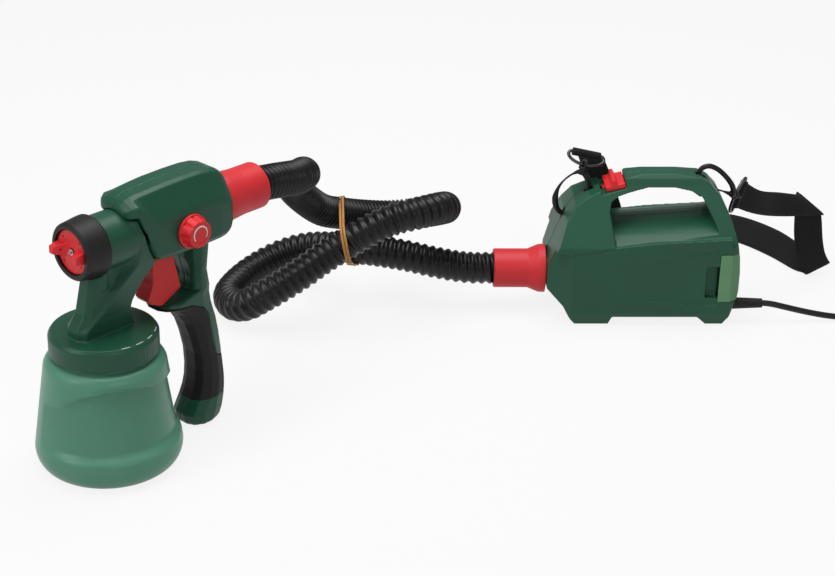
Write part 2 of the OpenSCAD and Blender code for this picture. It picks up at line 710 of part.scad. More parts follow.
module knob_spindle() {
  color(brass) gun() translate([knob_u, 0, knob_z]) {
    along_y(body_hw - 16, body_hw + 0.3, spindle_r);
    along_y(body_hw + 0.3 - eps, body_hw + 7, spindle_r - 1 - 0.02);
  }
}

module gun_screws() {
  color(steel) gun() for (p = screw_places) translate([p[0], 0, p[1]]) {
    along_y(-12.2, 9, screw_r);
    difference() {
      along_y(-14.2, -12, screw_r + 1.7);
      translate([-0.5, -14.3, -2.4]) cube([1, 1, 4.8]);
      translate([-2.4, -14.3, -0.5]) cube([4.8, 1, 1]);
    }
  }
}

inlet_r = hose_bore - 0.4;

module gun_air_inlet() {
  color(black) barrel() difference() {
    union() {
      along_x(-123.95, -118.05, inlet_r + 3);
      along_x(collar_back + 8.3, -115, inlet_r);
    }
    along_x(collar_back, -114, inlet_r - 2);
  }
}

module gun_hose_collar() {
  color(red) barrel() difference() {
    translate([collar_back, 0, 0]) rotate([0, 90, 0]) rotate_extrude($fn = 96)
      polygon([[0, 0], [gun_collar_r - 1, 0], [gun_collar_r, 1], [gun_collar_r, 24],
        [gun_collar_r + 1.5, collar_front - collar_back - 7],
        [gun_collar_r + 1.5, collar_front - collar_back], [0, collar_front - collar_back]]);
    along_x(collar_back - 1, collar_back + 16, hose_r + 0.3);
    along_x(collar_back, -130, inlet_r + 0.6);
  }
}

// ---------- hose ----------
gun_back = [-cos(gun_yaw), -sin(gun_yaw), 0];
hose_start = -(collar_back + 8) * gun_back + [0, 0, barrel_z];
hose_end = [374, unit_y, 42];
// route of the hose's middle line, after it leaves the gun's collar
hose_route = [
  [144.5, 143.5, 207.5], [163, 170, 200], [169, 210, 187], [162, 241, 170], [158, 266, 150],
  [170, 290, 126], [186, 306, 108], [204, 321, 98], [228, 336, 89], [254, 346, 84],
  [280, 348, 86], [301, 336, 95], [310, 308, 110], [300, 286, 118], [276, 270, 119],
  [256, 266, 115], [234, 263, 105], [212, 262, 92], [190, 260, 78], [163, 254, 60],
  [142, 251, 47], [126, 251, 37], [110, 256, 26], [96, 272, 19], [91, 300, 17],
  [104, 334, 19], [124, 353, 26], [147, 360, 35], [172, 357, 43], [204, 342, 50],
  [236, 327, 54], [270, 316, 53], [300, 311, 48], [322, 310, 44], [340, 310, 42]];
hose_points = concat([hose_start, -(collar_back + 1) * gun_back + [0, 0, barrel_z]],
  hose_route, [[361, unit_y, 42], hose_end]);
hose_fine = [for (i = [0:(len(hose_points) - 1) * 6]) along(hose_points, i / 6)];
hose_run = running(hose_fine);
hose_l = hose_run[len(hose_run) - 1];
tight_l = 330;
// running lengths of the ribs' crests: close together near the gun, open beyond
function rib_gap(d) = d < tight_l ? rib_pitch_tight
  : min(rib_pitch, rib_pitch_tight + (rib_pitch - rib_pitch_tight) * (d - tight_l) / 120);
function crests(d, r) = d > hose_l - 6 ? r : crests(d + rib_gap(d), concat(r, [d]));
crest_at = crests(5, []);
hose_ring_at = concat([0], [for (d = crest_at) each [d - rib_gap(d) * 0.5, d]],
  [hose_l - 2, hose_l]);
hose_ring_r = concat([hose_r - rib_depth], [for (d = crest_at) each [hose_r - rib_depth, hose_r]],
  [hose_r - rib_depth, hose_r - rib_depth]);
function hose_at(d) = along(hose_fine, place_of(hose_run, d));
bore_step = hose_l / 76;
hose_check = [for (d = [0:8:hose_l]) hose_at(d)];
echo("length of the hose", hose_l, "ribs", len(crest_at));
echo("least gap of the hose to itself",
  least_gap(hose_check, [for (d = [0:8:hose_l]) d], 80) - 2 * hose_r);

module air_hose() {
  outer = [for (d = hose_ring_at) hose_at(d)];
  inner = [for (i = [0:76]) hose_at(i * bore_step)];
  n = 8;
  a = tube_rings(outer, hose_ring_r, n, gun_back, [1, 0, 0]);
  b = tube_rings(inner, [for (p = inner) hose_bore], n, gun_back, [1, 0, 0]);
  na = len(a) * n;
  nb = len(b) * n;
  faces_a = [for (j = [0:len(a) - 2]) for (i = [0:n - 1])
    each [[j * n + i, (j + 1) * n + (i + 1) % n, j * n + (i + 1) % n],
          [j * n + i, (j + 1) * n + i, (j + 1) * n + (i + 1) % n]]];
  faces_b = [for (j = [0:len(b) - 2]) for (i = [0:n - 1])
    each [[na + j * n + i, na + j * n + (i + 1) % n, na + (j + 1) * n + (i + 1) % n],
          [na + j * n + i, na + (j + 1) * n + (i + 1) % n, na + (j + 1) * n + i]]];
  low = [for (i = [0:n - 1])
    each [[i, (i + 1) % n, na + (i + 1) % n], [i, na + (i + 1) % n, na + i]]];
  high = [for (i = [0:n - 1])
    let (p = na - n, q = na + nb - n)
    each [[p + i, q + (i + 1) % n, p + (i + 1) % n], [p + i, q + i, q + (i + 1) % n]]];
  color(black) polyhedron(concat([for (r = a) each r], [for (r = b) each r]),
    concat(faces_a, faces_b, low, high), convexity = 10);
}

// rubber band about the three strands where they lie side by side
// middles and directions of the three strands in the band's plane
band_x = 211;
band_lean = -0.2;
band_z = 85;
function crossing(i, j) =
  [for (k = [i:j - 1])
    let (p = hose_fine[k], q = hose_fine[k + 1],
         a = p[0] - band_x - band_lean * (p[2] - band_z),
         b = q[0] - band_x - band_lean * (q[2] - band_z))
    if (a * b <= 0 && a != b)
      let (c = p + (q - p) * a / (a - b), d = unit(q - p)) [[c[1], c[2]], [d[1], d[2]], abs(d[0])]];
strands = concat(crossing(7 * 6, 14 * 6), crossing(14 * 6, 22 * 6), crossing(28 * 6, 34 * 6));
band_r = hose_r + 0.25;
// farthest place of a strand's cut from the middle, looked at in the direction u
function band_reach(s, u) =
  let (w = norm(s[1]) > 0 ? s[1] / norm(s[1]) : [1, 0], big = band_r / s[2], c = u * w)
  let (h = sqrt(band_r * band_r * (1 - c * c) + big * big * c * c))
  [s[0] * u + h, s[0] + (band_r * band_r * u + (big * big - band_r * band_r) * c * w) / h];
function farthest(u) =
  let (r = [for (s = strands) band_reach(s, u)], m = max([for (q = r) q[0]]))
  [for (q = r) if (q[0] == m) q[1]][0];
band_line = [for (a = [0:15:345]) farthest([cos(a), sin(a)])];
echo("strands in the band", len(strands));

module hose_band() {
  lean = unit([1, 0, -band_lean]);
  m = len(band_line);
  rings = [for (i = [0:m - 1])
    let (q = band_line[i], u = [cos(15 * i), sin(15 * i)],
         p = [band_x + band_lean * (q[1] - band_z), q[0], q[1]],
         o = [band_lean * u[1], u[0], u[1]] * 1.6)
    [p - lean * 2.6, p + lean * 2.6, p + lean * 2.6 + o, p - lean * 2.6 + o]];
  faces = [for (j = [0:m - 1]) for (i = [0:3])
    let (a = j * 4, b = ((j + 1) % m) * 4, k = (i + 1) % 4)
    each [[a + i, b + k, a + k], [a + i, b + i, b + k]]];
  color("#a8743a") polyhedron([for (r = rings) each r], faces, convexity = 4);
}

// ---------- hose collar and outlet of the turbine unit ----------
outlet_z = 42;
front_x = 414;
unit_collar_x = 361;

module unit_hose_collar() {
  l = front_x - 0.3 - unit_collar_x;
  color(red) translate([unit_collar_x, unit_y, outlet_z]) difference() {
    rotate([0, 90, 0]) rotate_extrude($fn = 96)
      polygon([[0, 0], [unit_collar_r - 0.8, 0], [unit_collar_r, 0.8], [unit_collar_r, 35],
        [unit_collar_flare_r - 0.4, 46], [unit_collar_flare_r, l], [0, l]]);
    along_x(-1, 15, hose_r + 0.3);
    along_x(14, l + 1, inlet_r + 0.6);
  }
}

module outlet_spigot() {
  color(black) translate([0, unit_y, outlet_z]) difference() {
    union() {
      along_x(unit_collar_x + 13.3, front_x + 13.9, inlet_r);
      intersection() {
        along_x(front_x + unit_wall + 0.2, front_x + 6, inlet_r + 4);
        translate([0, 0, -outlet_z]) unit_form(unit_wall + 0.1);
      }
    }
    along_x(unit_collar_x, front_x + 15, inlet_r - 2);
  }
}

// ---------- turbine unit ----------
// side outline of the housing with its feet, in x and z
unit_side = [[442, 0], [477, 0], [480, 9], [567, 9], [576, 0], [594, 0], [599, 9], [604, 22],
  [606.5, 27], [608, 36], [608, 56], [606.5, 73], [603.5, 88], [597, 110], [586.5, 130], [576, 142],
  [565, 148], [541, 151], [507, 150.6], [491, 147.5], [487, 141.8], [470, 137.5], [452, 130],
  [440, 122.5], [431, 108], [425, 91], [418, 72], [414, 60], [414, 33], [430, 19], [438, 5]];
// step that runs along each side, under the hump
sill_side = [[455, 70], [597, 70], [597, 96], [583, 95.3], [521, 91.5], [478.4, 86.5], [455, 79.9]];
opening_side = [[479, 103], [570, 106], [571.5, 118], [567.5, 129], [557, 135.5], [540, 138.8],
  [513, 138.8], [493, 134], [482, 130.5], [475.5, 125.5], [474, 117]];
unit_plan = [[414, -31], [437, -unit_hw], [598, -unit_hw], [609, -unit_hw + 9],
  [609, unit_hw - 9], [598, unit_hw], [437, unit_hw], [414, 31]];
high_plan = [[413, -20], [418.5, -44], [424, -unit_hw + 0.01], [470, -unit_hw + 0.01],
  [470, unit_hw - 0.01], [424, unit_hw - 0.01], [418.5, 44], [413, 20]];
unit_section = [[-unit_hw + 6, -1], [unit_hw - 6, -1], [unit_hw, 14], [unit_hw, 86],
  [carry_hw + 3, 131], [carry_hw - 2, 140], [carry_hw - 4.5, 147], [carry_hw - 10, 151.5],
  [-carry_hw + 10, 151.5], [-carry_hw + 4.5, 147], [-carry_hw + 2, 140], [-carry_hw - 3, 131],
  [-unit_hw, 86], [-unit_hw, 14]];
hump_low = 83;
hump_rise = 17;
function hump_ring(x, low, top, d) =
  concat([for (i = [0:10]) let (y = (unit_hw + 3) * (1 - i / 5))
    [x, y, low + (top - low) * (1 - pow(y / (unit_hw + 3), 2)) - d]],
    [[x, -unit_hw - 3, -10], [x, unit_hw + 3, -10]]);

module hump(d) {
  loft([hump_ring(470, hump_low - 1, hump_low - 1 + hump_rise, d),
    hump_ring(600, hump_low + 12, hump_low + 26, d)]);
}

// the housing's outer form, moved inwards by d
module unit_form(d) {
  difference() {
    union() {
      intersection() {
        side_plate(inset(unit_side, d), unit_hw + 1);
        union() {
          translate([0, 0, -1]) linear_extrude(170) polygon(inset(unit_plan, d));
          translate([0, 0, 79 + d]) linear_extrude(90) polygon(inset(high_plan, d));
        }
        end_plate(inset(unit_section, d), 400, 630);
      }
      if (d == 0) side_plate(sill_side, unit_hw);
    }
    side_plate(inset(opening_side, -d), unit_hw + 2);
    difference() {
      side_plate(inset([[479.5, 86.6], [521, 91.6], [584.5, 95.4], [580, 108], [573.5, 120],
        [567, 131], [476, 126.5], [474, 117]], -d), unit_hw + 2);
      hump(d);
    }
  }
}

cover_x = 586;
cover_low = 27;
cover_high = 79;
bulkhead_x = 580;
unit_screw_places = [[448, 12], [588, 12], [466, 116], [590, 104], [524, 144.6]];

module cover_zone(d) {
  translate([cover_x - d, -60, cover_low - d]) cube([60, 120, cover_high - cover_low + 2 * d]);
}

// a rib that carries a round part of radius r about the motor's axis
module cradle(x0, x1, r) {
  difference() {
    intersection() {
      unit_form(unit_wall - 0.5);
      translate([x0, -60, 0]) cube([x1 - x0, 120, 112]);
    }
    translate([0, 0, motor_z]) along_x(x0 - 1, x1 + 1, r);
  }
}

bracket_r = 31;
volute_r = 36;
switch_x = 480;
switch_z = 140;
switch_tilt = -14;
switch_depth = 4.6;
module at_switch_plane() {
  intersection() {
    translate([switch_x, 0, switch_z]) rotate([0, switch_tilt, 0]) children();
    unit_form(unit_wall - 0.5);
  }
}

module unit_body() {
  difference() {
    union() {
      difference() {
        unit_form(0);
        unit_form(unit_wall);
        cover_zone(0.3);
      }
      cradle(476, 479, bracket_r + 0.05);
      cradle(556, 559, bracket_r + 0.05);
      cradle(444, 447, volute_r + 0.05);
      // bulkhead that carries the filter
      intersection() {
        unit_form(unit_wall - 0.5);
        translate([bulkhead_x, -60, 5]) cube([cover_x - bulkhead_x, 120, 85]);
      }
      // walls of the finger hollows, and the block that holds the cord's gland
      for (s = [-1, 1]) intersection() {
        translate([570, s * 44 - 8, 28]) cube([cover_x - 570, 16, 42]);
        unit_form(0);
      }
      intersection() {
        translate([588, cord_y - 10, 4]) cube([16, 20, cover_low - 4.3]);
        unit_form(0.2);
      }
      // floor of the switch's way
      at_switch_plane() translate([-19, -30, -switch_depth - 3]) cube([34, 60, 3]);
      for (p = unit_screw_places) intersection() {
        translate([p[0], 0, p[1]]) along_y(-60, 60, 4.5);
        unit_form(0);
      }
    }
    // air way through the bulkhead
    translate([bulkhead_x - 1, -34, 36]) cube([10, 68, 36]);
    translate([0, cord_y, gland_z]) along_x(bulkhead_x - 1, 600, cord_r + 0.5);
    // outlet
    translate([0, 0, outlet_z]) along_x(front_x - 2, front_x + 12, inlet_r + 0.02);
    // way of the switch's slider across the top of the handle, and its stem
    translate([switch_x, 0, switch_z]) rotate([0, switch_tilt, 0]) {
      translate([-10.3 - switch_travel, -30, -switch_depth]) cube([20.6 + switch_travel, 60, 20]);
      translate([-13.4 - switch_travel, -3.9, -switch_depth - 4]) cube([17.8 + switch_travel, 7.8, 6]);
    }
    // screws, entered from the far side
    for (p = unit_screw_places) translate([p[0], 0, p[1]]) {
      along_y(-11, 60, screw_r + 0.02);
      along_y(12, 60, screw_r + 1.9);
    }
    // cord's way out
    translate([0, cord_y, gland_z]) along_x(590, 620, gland_r - 1.2);
    translate([0, cord_y, gland_z]) along_x(603.7, 640, gland_r + 0.3);
    translate([0, cord_y, gland_z]) along_x(591.8, 597.2, gland_r + 1.45);
    // groove along the side, over the step
    for (s = [-1, 1]) translate([0, s * unit_hw, 0]) side_plate([[420, 81.6], [434.5, 76.9],
      [461.4, 80.4], [478.4, 84.6], [478.4, 86.4], [461.4, 82.4], [434.5, 79], [420, 84.3]], 1.2);
    // sweeping hollow in each side, deeper to the rear
    for (s = [-1, 1]) translate([455, s * (unit_hw + 0.1), 0]) rotate([0, 0, -s * 0.85])
      rotate([90, 0, 0]) translate([0, 0, s > 0 ? -4 : 0]) linear_extrude(4)
        polygon([[4, 64], [14, 66.2], [37, 69.5], [77, 75.1], [101, 80.4], [128.5, 83.8],
          [131, 69], [131, 23], [116, 22], [71, 25.5], [40, 29.8], [12, 31]]);
    // finger hollows by the filter cover
    for (s = [-1, 1]) translate([573, s * (unit_hw - 3.5) - 5, 31]) cube([14, 10, 34]);
    // ways for the strap's hooks, round a bar at each end of the handle
    side_plate(front_way, hook_way);
    side_plate(rear_way, hook_way);
  }
}
hook_way = 3.6;
front_way = [[420, 100], [438, 99], [450, 105], [457.5, 117], [459.5, 131], [456, 143], [450, 152],
  [440, 142], [447.6, 140], [451, 131], [449, 122], [443.5, 113], [436, 107.8], [424, 111]];
rear_way = [[578, 160], [566, 158], [562.6, 152], [562, 143.5], [569, 133.5], [580, 127.6],
  [590, 122], [592, 132], [583, 134], [575, 139.5], [571, 146], [572, 150.6], [577, 151]];

module unit_shell_left() {
  color(green) unit_frame() intersection() {
    unit_body();
    translate([400, -60, -5]) cube([230, 60, 200]);
  }
}
module unit_shell_right() {
  color(green) unit_frame() intersection() {
    unit_body();
    translate([400, 0, -5]) cube([230, 60, 200]);
  }
}

module unit_screws() {
  color(steel) unit_frame() for (p = unit_screw_places) translate([p[0], 0, p[1]]) {
    along_y(-10, 12.2, screw_r);
    difference() {
      along_y(12.05, 14.2, screw_r + 1.7);
      translate([-0.5, 13.4, -2.4]) cube([1, 1, 4.8]);
      translate([-2.4, 13.4, -0.5]) cube([4.8, 1, 1]);
    }
  }
}

module at_switch() {
  translate([switch_x, unit_y, switch_z]) rotate([0, switch_tilt, 0]) children();
}

module power_switch() {
  color(red) at_switch() {
    side_plate([[-10, -switch_depth + 0.3], [10, -switch_depth + 0.3], [9.7, 0.8], [2.6, 0.8],
      [0.8, 6], [-2.6, 6], [-4, 0.8], [-10.4, 0.8]], 16.4);
    translate([-13, -3.5, -switch_depth - 3.2]) cube([17, 7, 4]);
  }
}

module switch_body() {
  color(black) at_switch() difference() {
    translate([-26, -10.8, -switch_depth - 8.4]) cube([14, 21.6, 4]);
    translate([-24, -7, -switch_depth - 9.4]) cube([3, 14, 3]);
    translate([-17, -7, -switch_depth - 9.4]) cube([3, 14, 3]);
  }
}

module filter_cover() {
  color("#5a8060") unit_frame() difference() {
    intersection() {
      unit_form(0);
      cover_zone(0);
    }
    unit_form(2.4);
    for (i = [0:8]) translate([601, -36, cover_low + 4.5 + 5 * i]) cube([12, 72, 2.2]);
  }
}

module air_filter() {
  color("#4a4a48") unit_frame()
    translate([cover_x, -38, 33]) cube([11, 76, 41.5]);
}

// ---------- turbine and motor ----------
module turbine_housing() {
  color(black) motor() difference() {
    union() {
      along_x(438, 472, volute_r);
      translate([0, 0, outlet_z - motor_z]) along_x(front_x + 14, 440, inlet_r);
    }
    along_x(440, 470, volute_r - 2);
    along_x(469, 473, 14);
    translate([0, 0, outlet_z - motor_z]) along_x(front_x + 12, 441, inlet_r - 2);
  }
}

module impeller() {
  color(steel) motor() difference() {
    union() {
      along_x(444, 446, impeller_r);
      along_x(444, 460, 7);
      for (i = [0:impeller_blades - 1]) rotate([i * 360 / impeller_blades, 0, 0])
        translate([446 - eps, 0, 0]) rotate([28, 0, 0]) translate([0, -0.6, 8]) cube([11, 1.2, impeller_r - 13]);
    }
    along_x(440, 470, shaft_r);
  }
}

module motor_shaft() {
  color(steel) motor() along_x(442, 572, shaft_r);
}

module motor_armature() {
  color("#8f5a3c") motor() difference() {
    union() {
      along_x(498, 526, 16);
      along_x(493, 531, 13.5);
      along_x(536, 550, 9);
      along_x(530, 537, 7);
    }
    along_x(490, 555, shaft_r);
  }
}

module motor_stator() {
  color("#5c5e60") motor() difference() {
    union() {
      along_x(496, 528, 28);
      intersection() {
        along_x(488, 536, 26);
        for (s = [-1, 1]) translate([485, -18, s > 0 ? 16.5 : -30]) cube([55, 36, 13.5]);
      }
      for (s = [-1, 1]) translate([479.8, s * 28.6 - 1.8, -4]) cube([75.8, 3.6, 8]);
    }
    along_x(480, 540, 16.5);
  }
}

module bearing(x) {
  motor() difference() {
    along_x(x, x + 6, 9.5);
    along_x(x - 1, x + 7, shaft_r + run_fit);
    difference() {
      along_x(x - 0.1, x + 0.7, 8);
      along_x(x - 1, x + 1, 4.8);
    }
  }
}
module front_bearing() { color(steel) bearing(481); }
module rear_bearing() { color(steel) bearing(557); }

module bracket(x0, x1, seat0, seat1) {
  motor() difference() {
    along_x(x0, x1, bracket_r);
    along_x(seat0, seat1, 9.52);
    along_x(x0 - 1, x1 + 1, shaft_r + 2);
    for (a = [45:90:315]) rotate([a, 0, 0]) translate([0, 20, 0]) along_x(x0 - 1, x1 + 1, 5.5);
  }
}
module front_bracket() {
  color(black) union() {
    bracket(475, 479.8, 479, 480);
    motor() difference() {
      along_x(479.8 - eps, 487, 13);
      along_x(478, 488, 9.52);
    }
  }
}
module rear_bracket() { color(black) bracket(555.6, 563, 556.9, 570); }

module brush_holders() {
  color(brass) motor() for (s = [-1, 1]) translate([540, s > 0 ? 9.3 : -24.3, -3.5])
    cube([15.6, 15, 7]);
}

// ---------- mains cord ----------
cord_y = -38;
gland_z = 20.5;
gland_r = 6;
gland_end = 634;

module cord_gland() {
  color(black) translate([0, unit_y + cord_y, gland_z]) difference() {
    union() {
      along_x(592, 597, gland_r + 1.4);
      along_x(597 - eps, 604, gland_r - 1.3);
      along_x(604 - eps, gland_end, gland_r, 4.75);
    }
    along_x(590, gland_end + 1, cord_r + 0.02);
  }
}

module cord_clamp() {
  color(black) translate([0, unit_y, 0]) difference() {
    intersection() {
      translate([571.5, cord_y - 9, gland_z - 9]) cube([8, 18, 14]);
      unit_form(unit_wall + 0.1);
    }
    translate([570.5, cord_y, gland_z]) along_x(0, 10, cord_r + 0.02);
  }
}

coil_middle = [770, 226];
coil_z = cord_r + 1.2;
coil_turns = 3;
coil_rise = 2 * cord_r + 0.6;
coil_out_r = coil_in_r + coil_turns * coil_step;
coil_all = 6.25;
// the coil's line, t counted in turns: it winds in, climbs in half a turn, and winds out
function coil_r(t) = t < coil_turns ? coil_out_r - coil_step * t
  : t < coil_turns + 0.5 ? coil_in_r - 2 * sin(360 * (t - coil_turns))
  : coil_in_r + coil_step * (t - coil_turns - 0.5);
function coil_h(t) = t < coil_turns ? 0 : t < coil_turns + 0.5
  ? coil_rise * (1 - cos(360 * (t - coil_turns))) / 2 : coil_rise;
function coil_at(t) =
  let (a = 90 - 360 * t, r = coil_r(t))
  [coil_middle[0] + r * cos(a), coil_middle[1] + r * sin(a), coil_z + coil_h(t)];
coil_line = [for (i = [0:coil_all * 24]) coil_at(i / 24)];
echo("least gap of the coil to itself",
  least_gap(coil_line, running(coil_line), 60) - 2 * cord_r);
coil_first = coil_line[0];
coil_last = coil_line[len(coil_line) - 1];

// route of the cord from the gland to the coil
lead_route = [[566, 272, 20.5], [580, 272, 20.5], [594, 272, 20.5], [608, 272, 20.5],
  [622, 272, 20.5], [634, 272, 20.5], [645, 272, 19.2], [658, 272, 16],
  [674, 272, 12], [690, 272, 8.5], [704, 272, 6], [718, 272, 4.6], [734, 272.6, 4.3],
  [752, 273, 4.3]];
lead_line = concat(lead_route, [coil_first - [4, 0, 0], coil_first]);
// route of the cord from the coil to the plug
tail_route = [[817, 214, 10.5], [817, 203, 9.5], [817, 192, 10], [817, 182, 12], [817, 176, 12.5]];
tail_line = concat([coil_last, coil_last - [0, 4, 0]], tail_route);
plug_at = tail_route[len(tail_route) - 1];

module cord_tube(p, n, fine, first, last) {
  line = [for (i = [0:(len(p) - 1) * fine]) along(p, i / fine)];
  loft(tube_rings(line, [for (q = line) cord_r], n, first, last));
}
module mains_cord() {
  color(black) cord_tube(lead_line, 8, 2, [1, 0, 0], unit(coil_line[1] - coil_line[0]));
}
module cord_coil() {
  color(black) loft(tube_rings(coil_line, [for (q = coil_line) cord_r], 6,
    unit(coil_line[1] - coil_line[0]), [0, -1, 0]));
}
module cord_tail() {
  color(black) cord_tube(tail_line, 8, 2, [0, -1, 0], [0, -1, 0]);
}

tie_a = 200;
module cord_tie() {
  in0 = coil_in_r - cord_r - 3;
  out0 = coil_out_r + cord_r + 0.6;
  color("#2b2b2d") translate([coil_middle[0], coil_middle[1], 0]) rotate([0, 0, tie_a]) difference() {
    translate([in0, -8, 0]) cube([out0 - in0, 16, coil_z + coil_rise + cord_r + 1.2]);
    translate([in0 + 0.9, -9, 0.9])
      cube([out0 - in0 - 1.8, 18, coil_z + coil_rise + cord_r - 0.6]);
  }
}

// two-pin moulded plug
plug_l = 44;
module mains_plug() {
  p = plug_at;
  color(black) translate([p[0], p[1], plug_half_t]) {
    difference() {
      union() {
        translate([0, -20, 0]) rotate([-90, 0, 0]) cylinder(h = 20, r1 = 7.5, r2 = 4.6);
        loft([for (q = [[0, 8, 8], [-4, 11, 9.5], [-14, 15, 11.5], [-26, 18, 12.4], [-29, 18, 12.4]])
          [for (a = [22.5:45:360]) [q[1] * sign(cos(a)) * pow(abs(cos(a)), 0.6), -14 + q[0],
            q[2] * sign(sin(a)) * pow(abs(sin(a)), 0.6)]]]);
      }
      translate([0, -10, 0]) rotate([-90, 0, 0]) cylinder(h = 12, r = cord_r + 0.02);
    }
  }
  color(steel) for (s = [-1, 1])
    translate([p[0] + s * plug_pitch / 2, p[1] - 43 - plug_pin_l, plug_half_t]) {
      along_y(0, 1.4, plug_pin_r - 1, plug_pin_r);
      along_y(1.4 - eps, plug_pin_l + 3, plug_pin_r);
    }
}
plug_half_t = 12.5;

// ---------- strap ----------
// ends of the webbing where it turns back round the rings' straight bars
rear_bar = [[618, 332, 129.5], [609, 332, 101.5]];
front_bar = [[466, 322, 160.5], [438, 318, 168]];
// the webbing's two edges, from the rear ring to the front one
strap_edges = [
  [rear_bar[0], rear_bar[1]], [[638, 345, 114], [634, 345, 88]],
  [[664, 366, 103], [665, 366, 76]], [[686, 380, 95], [713, 380, 71]],
  [[685, 383.5, 95], [714, 383.5, 71]], [[686, 384, 70], [716, 384, 62]],
  [[688, 384, 45], [719, 384, 42]], [[693, 383, 22], [723, 383, 26]],
  [[704, 381, 1.5], [729, 383, 15]], [[702, 385, 1.5], [727, 387, 16]],
  [[693, 394, 1.2], [704, 401, 25]], [[674, 428, 1.2], [682, 442, 27]],
  [[645, 464, 1.2], [650, 482, 25]], [[610, 482, 1.2], [610, 501, 23]],
  [[574, 478, 1.2], [568, 500, 20]], [[540, 452, 1.2], [526, 476, 12]],
  [[522, 418, 3], [496, 430, 14]], [[512, 396, 22], [484, 396, 26]],
  [[508, 382, 50], [479, 380, 55]], [[500, 374, 80], [472, 370, 87]],
  [[490, 366, 108], [462, 360, 116]], [[480, 352, 134], [451, 346, 141]],
  [[472, 336, 152], [444, 331, 160]], [front_bar[0], front_bar[1]]];

module shoulder_strap() {
  n = len(strap_edges);
  rings = [for (i = [0:n - 1])
    let (a = strap_edges[i][0], b = strap_edges[i][1],
         before = strap_edges[max(i - 1, 0)], after = strap_edges[min(i + 1, n - 1)],
         run = (after[0] + after[1]) - (before[0] + before[1]),
         nrm = unit(cross(run, b - a)) * strap_t / 2)
    [a - nrm, b - nrm, b + nrm, a + nrm]];
  color(black) difference() {
    union() {
      loft(rings);
      for (b = [rear_bar, front_bar]) framed(b[1], [1, 0.01, 0], b[0] - b[1])
        framed([0, 0, 0], [1, 0, 0], [0, 0, 1]) cylinder(h = norm(b[0] - b[1]), r = 4);
    }
    for (b = [rear_bar, front_bar]) framed(b[1], [1, 0.01, 0], b[0] - b[1])
      translate([0, 0, -5]) cylinder(h = norm(b[0] - b[1]) + 10, r = ring_wire_r + 0.1);
  }
}

// D-shaped wire ring whose straight bar is b, drawn towards the place q
module d_ring(b, q) {
  m = (b[0] + b[1]) / 2;
  x = unit(b[0] - b[1]);
  y = unit((q - m) - ((q - m) * x) * x);
  l = (q - m) * y;
  h = norm(b[0] - b[1]) / 2 + 2.2;
  shape = concat([[-h, 0], [-h * 0.5, 0], [0, 0], [h * 0.5, 0], [h, 0]],
    [for (a = [0:20:180]) [(h + 2.4) * cos(a), 3 + (l - 3) * sin(a)]]);
  loop_tube([for (s = shape) m + x * s[0] + y * s[1]], [for (s = shape) ring_wire_r],
    cross(x, y), 8);
}

module front_strap_ring() {
  color("#3a3a3c") d_ring(front_bar, front_eyelet + [0, 0.4, -1.4]);
}
module rear_strap_ring() {
  color("#3a3a3c") d_ring(rear_bar, rear_eyelet + [-1.2, -0.8, 0]);
}

// where the hooks' swivels hold the rings
front_eyelet = [449.5, 311, 157];
rear_eyelet = [607, 317, 121];
// middle lines of the snap hooks, in x and z: nose round the housing's bar, and spring gate
front_hook = [[447, 149], [453, 141], [455, 131], [453, 120], [446, 109], [436, 103.5],
  [427, 105], [422.5, 112], [421.5, 121], [424, 131], [429.5, 139.5], [438, 146.5]];
front_hook_r = [3, 2.8, 2.6, 2.6, 2.6, 2.6, 2.6, 3, 3.2, 1.6, 0.9, 1];
rear_hook = [[602, 125], [601, 133.5], [594, 143.5], [584.5, 152], [575, 155.5], [567.5, 152],
  [566.5, 144.5], [572, 136.5], [581, 131.5], [592, 128]];
rear_hook_r = [3, 2.8, 2.6, 2.6, 2.6, 2.6, 2.4, 1.4, 0.9, 0.9];

module swivel(from, to, wire) {
  d = unit(to - from);
  framed(from, cross(d, [0.3, 1, 0.1]), d) {
    translate([0, 0, -3]) cylinder(h = norm(to - from) - 3.4 + 3, r = 3.6);
    translate([0, 0, norm(to - from) - 6.2]) cylinder(h = 1.6, r = 4.6);
  }
  // eyelet about the ring's wire
  loop_tube([for (a = [0:30:330]) to + 4.4 * (cos(a) * d + sin(a) * unit(cross(wire, d)))],
    [for (a = [0:30:330]) 1.4], unit(cross(d, unit(cross(wire, d)))), 6);
}

module strap_hook(line, r, y, to, bar) {
  color(black) {
    loop_tube([for (q = line) [q[0], y, q[1]]], r, [0, 1, 0], 8);
    swivel([line[0][0], y, line[0][1]], to, bar[0] - bar[1]);
  }
}
module front_strap_hook() { strap_hook(front_hook, front_hook_r, unit_y, front_eyelet, front_bar); }
module rear_strap_hook() { strap_hook(rear_hook, rear_hook_r, unit_y, rear_eyelet, rear_bar); }

module strap_slider() {
  a = strap_edges[17];
  b = strap_edges[18];
  m = (a[0] + a[1] + b[0] + b[1]) / 4;
  color(black) framed(m, (a[0] - a[1]) + (b[0] - b[1]), (b[0] + b[1]) - (a[0] + a[1])) difference() {
    union() {
      translate([-15.6, -3.1, -8]) cube([31.2, 6.2, 16]);
      for (s = [-1, 1]) translate([s * 15.6, -3.1, 0]) rotate([-90, 0, 0]) cylinder(h = 6.2, r = 8);
    }
    translate([-15.7, -1.4, -9]) cube([31.4, 2.8, 18]);
    for (s = [-1, 1]) translate([-15.7, s * 3.6 - 1.2, -3.5]) cube([31.4, 2.4, 7]);
  }
}

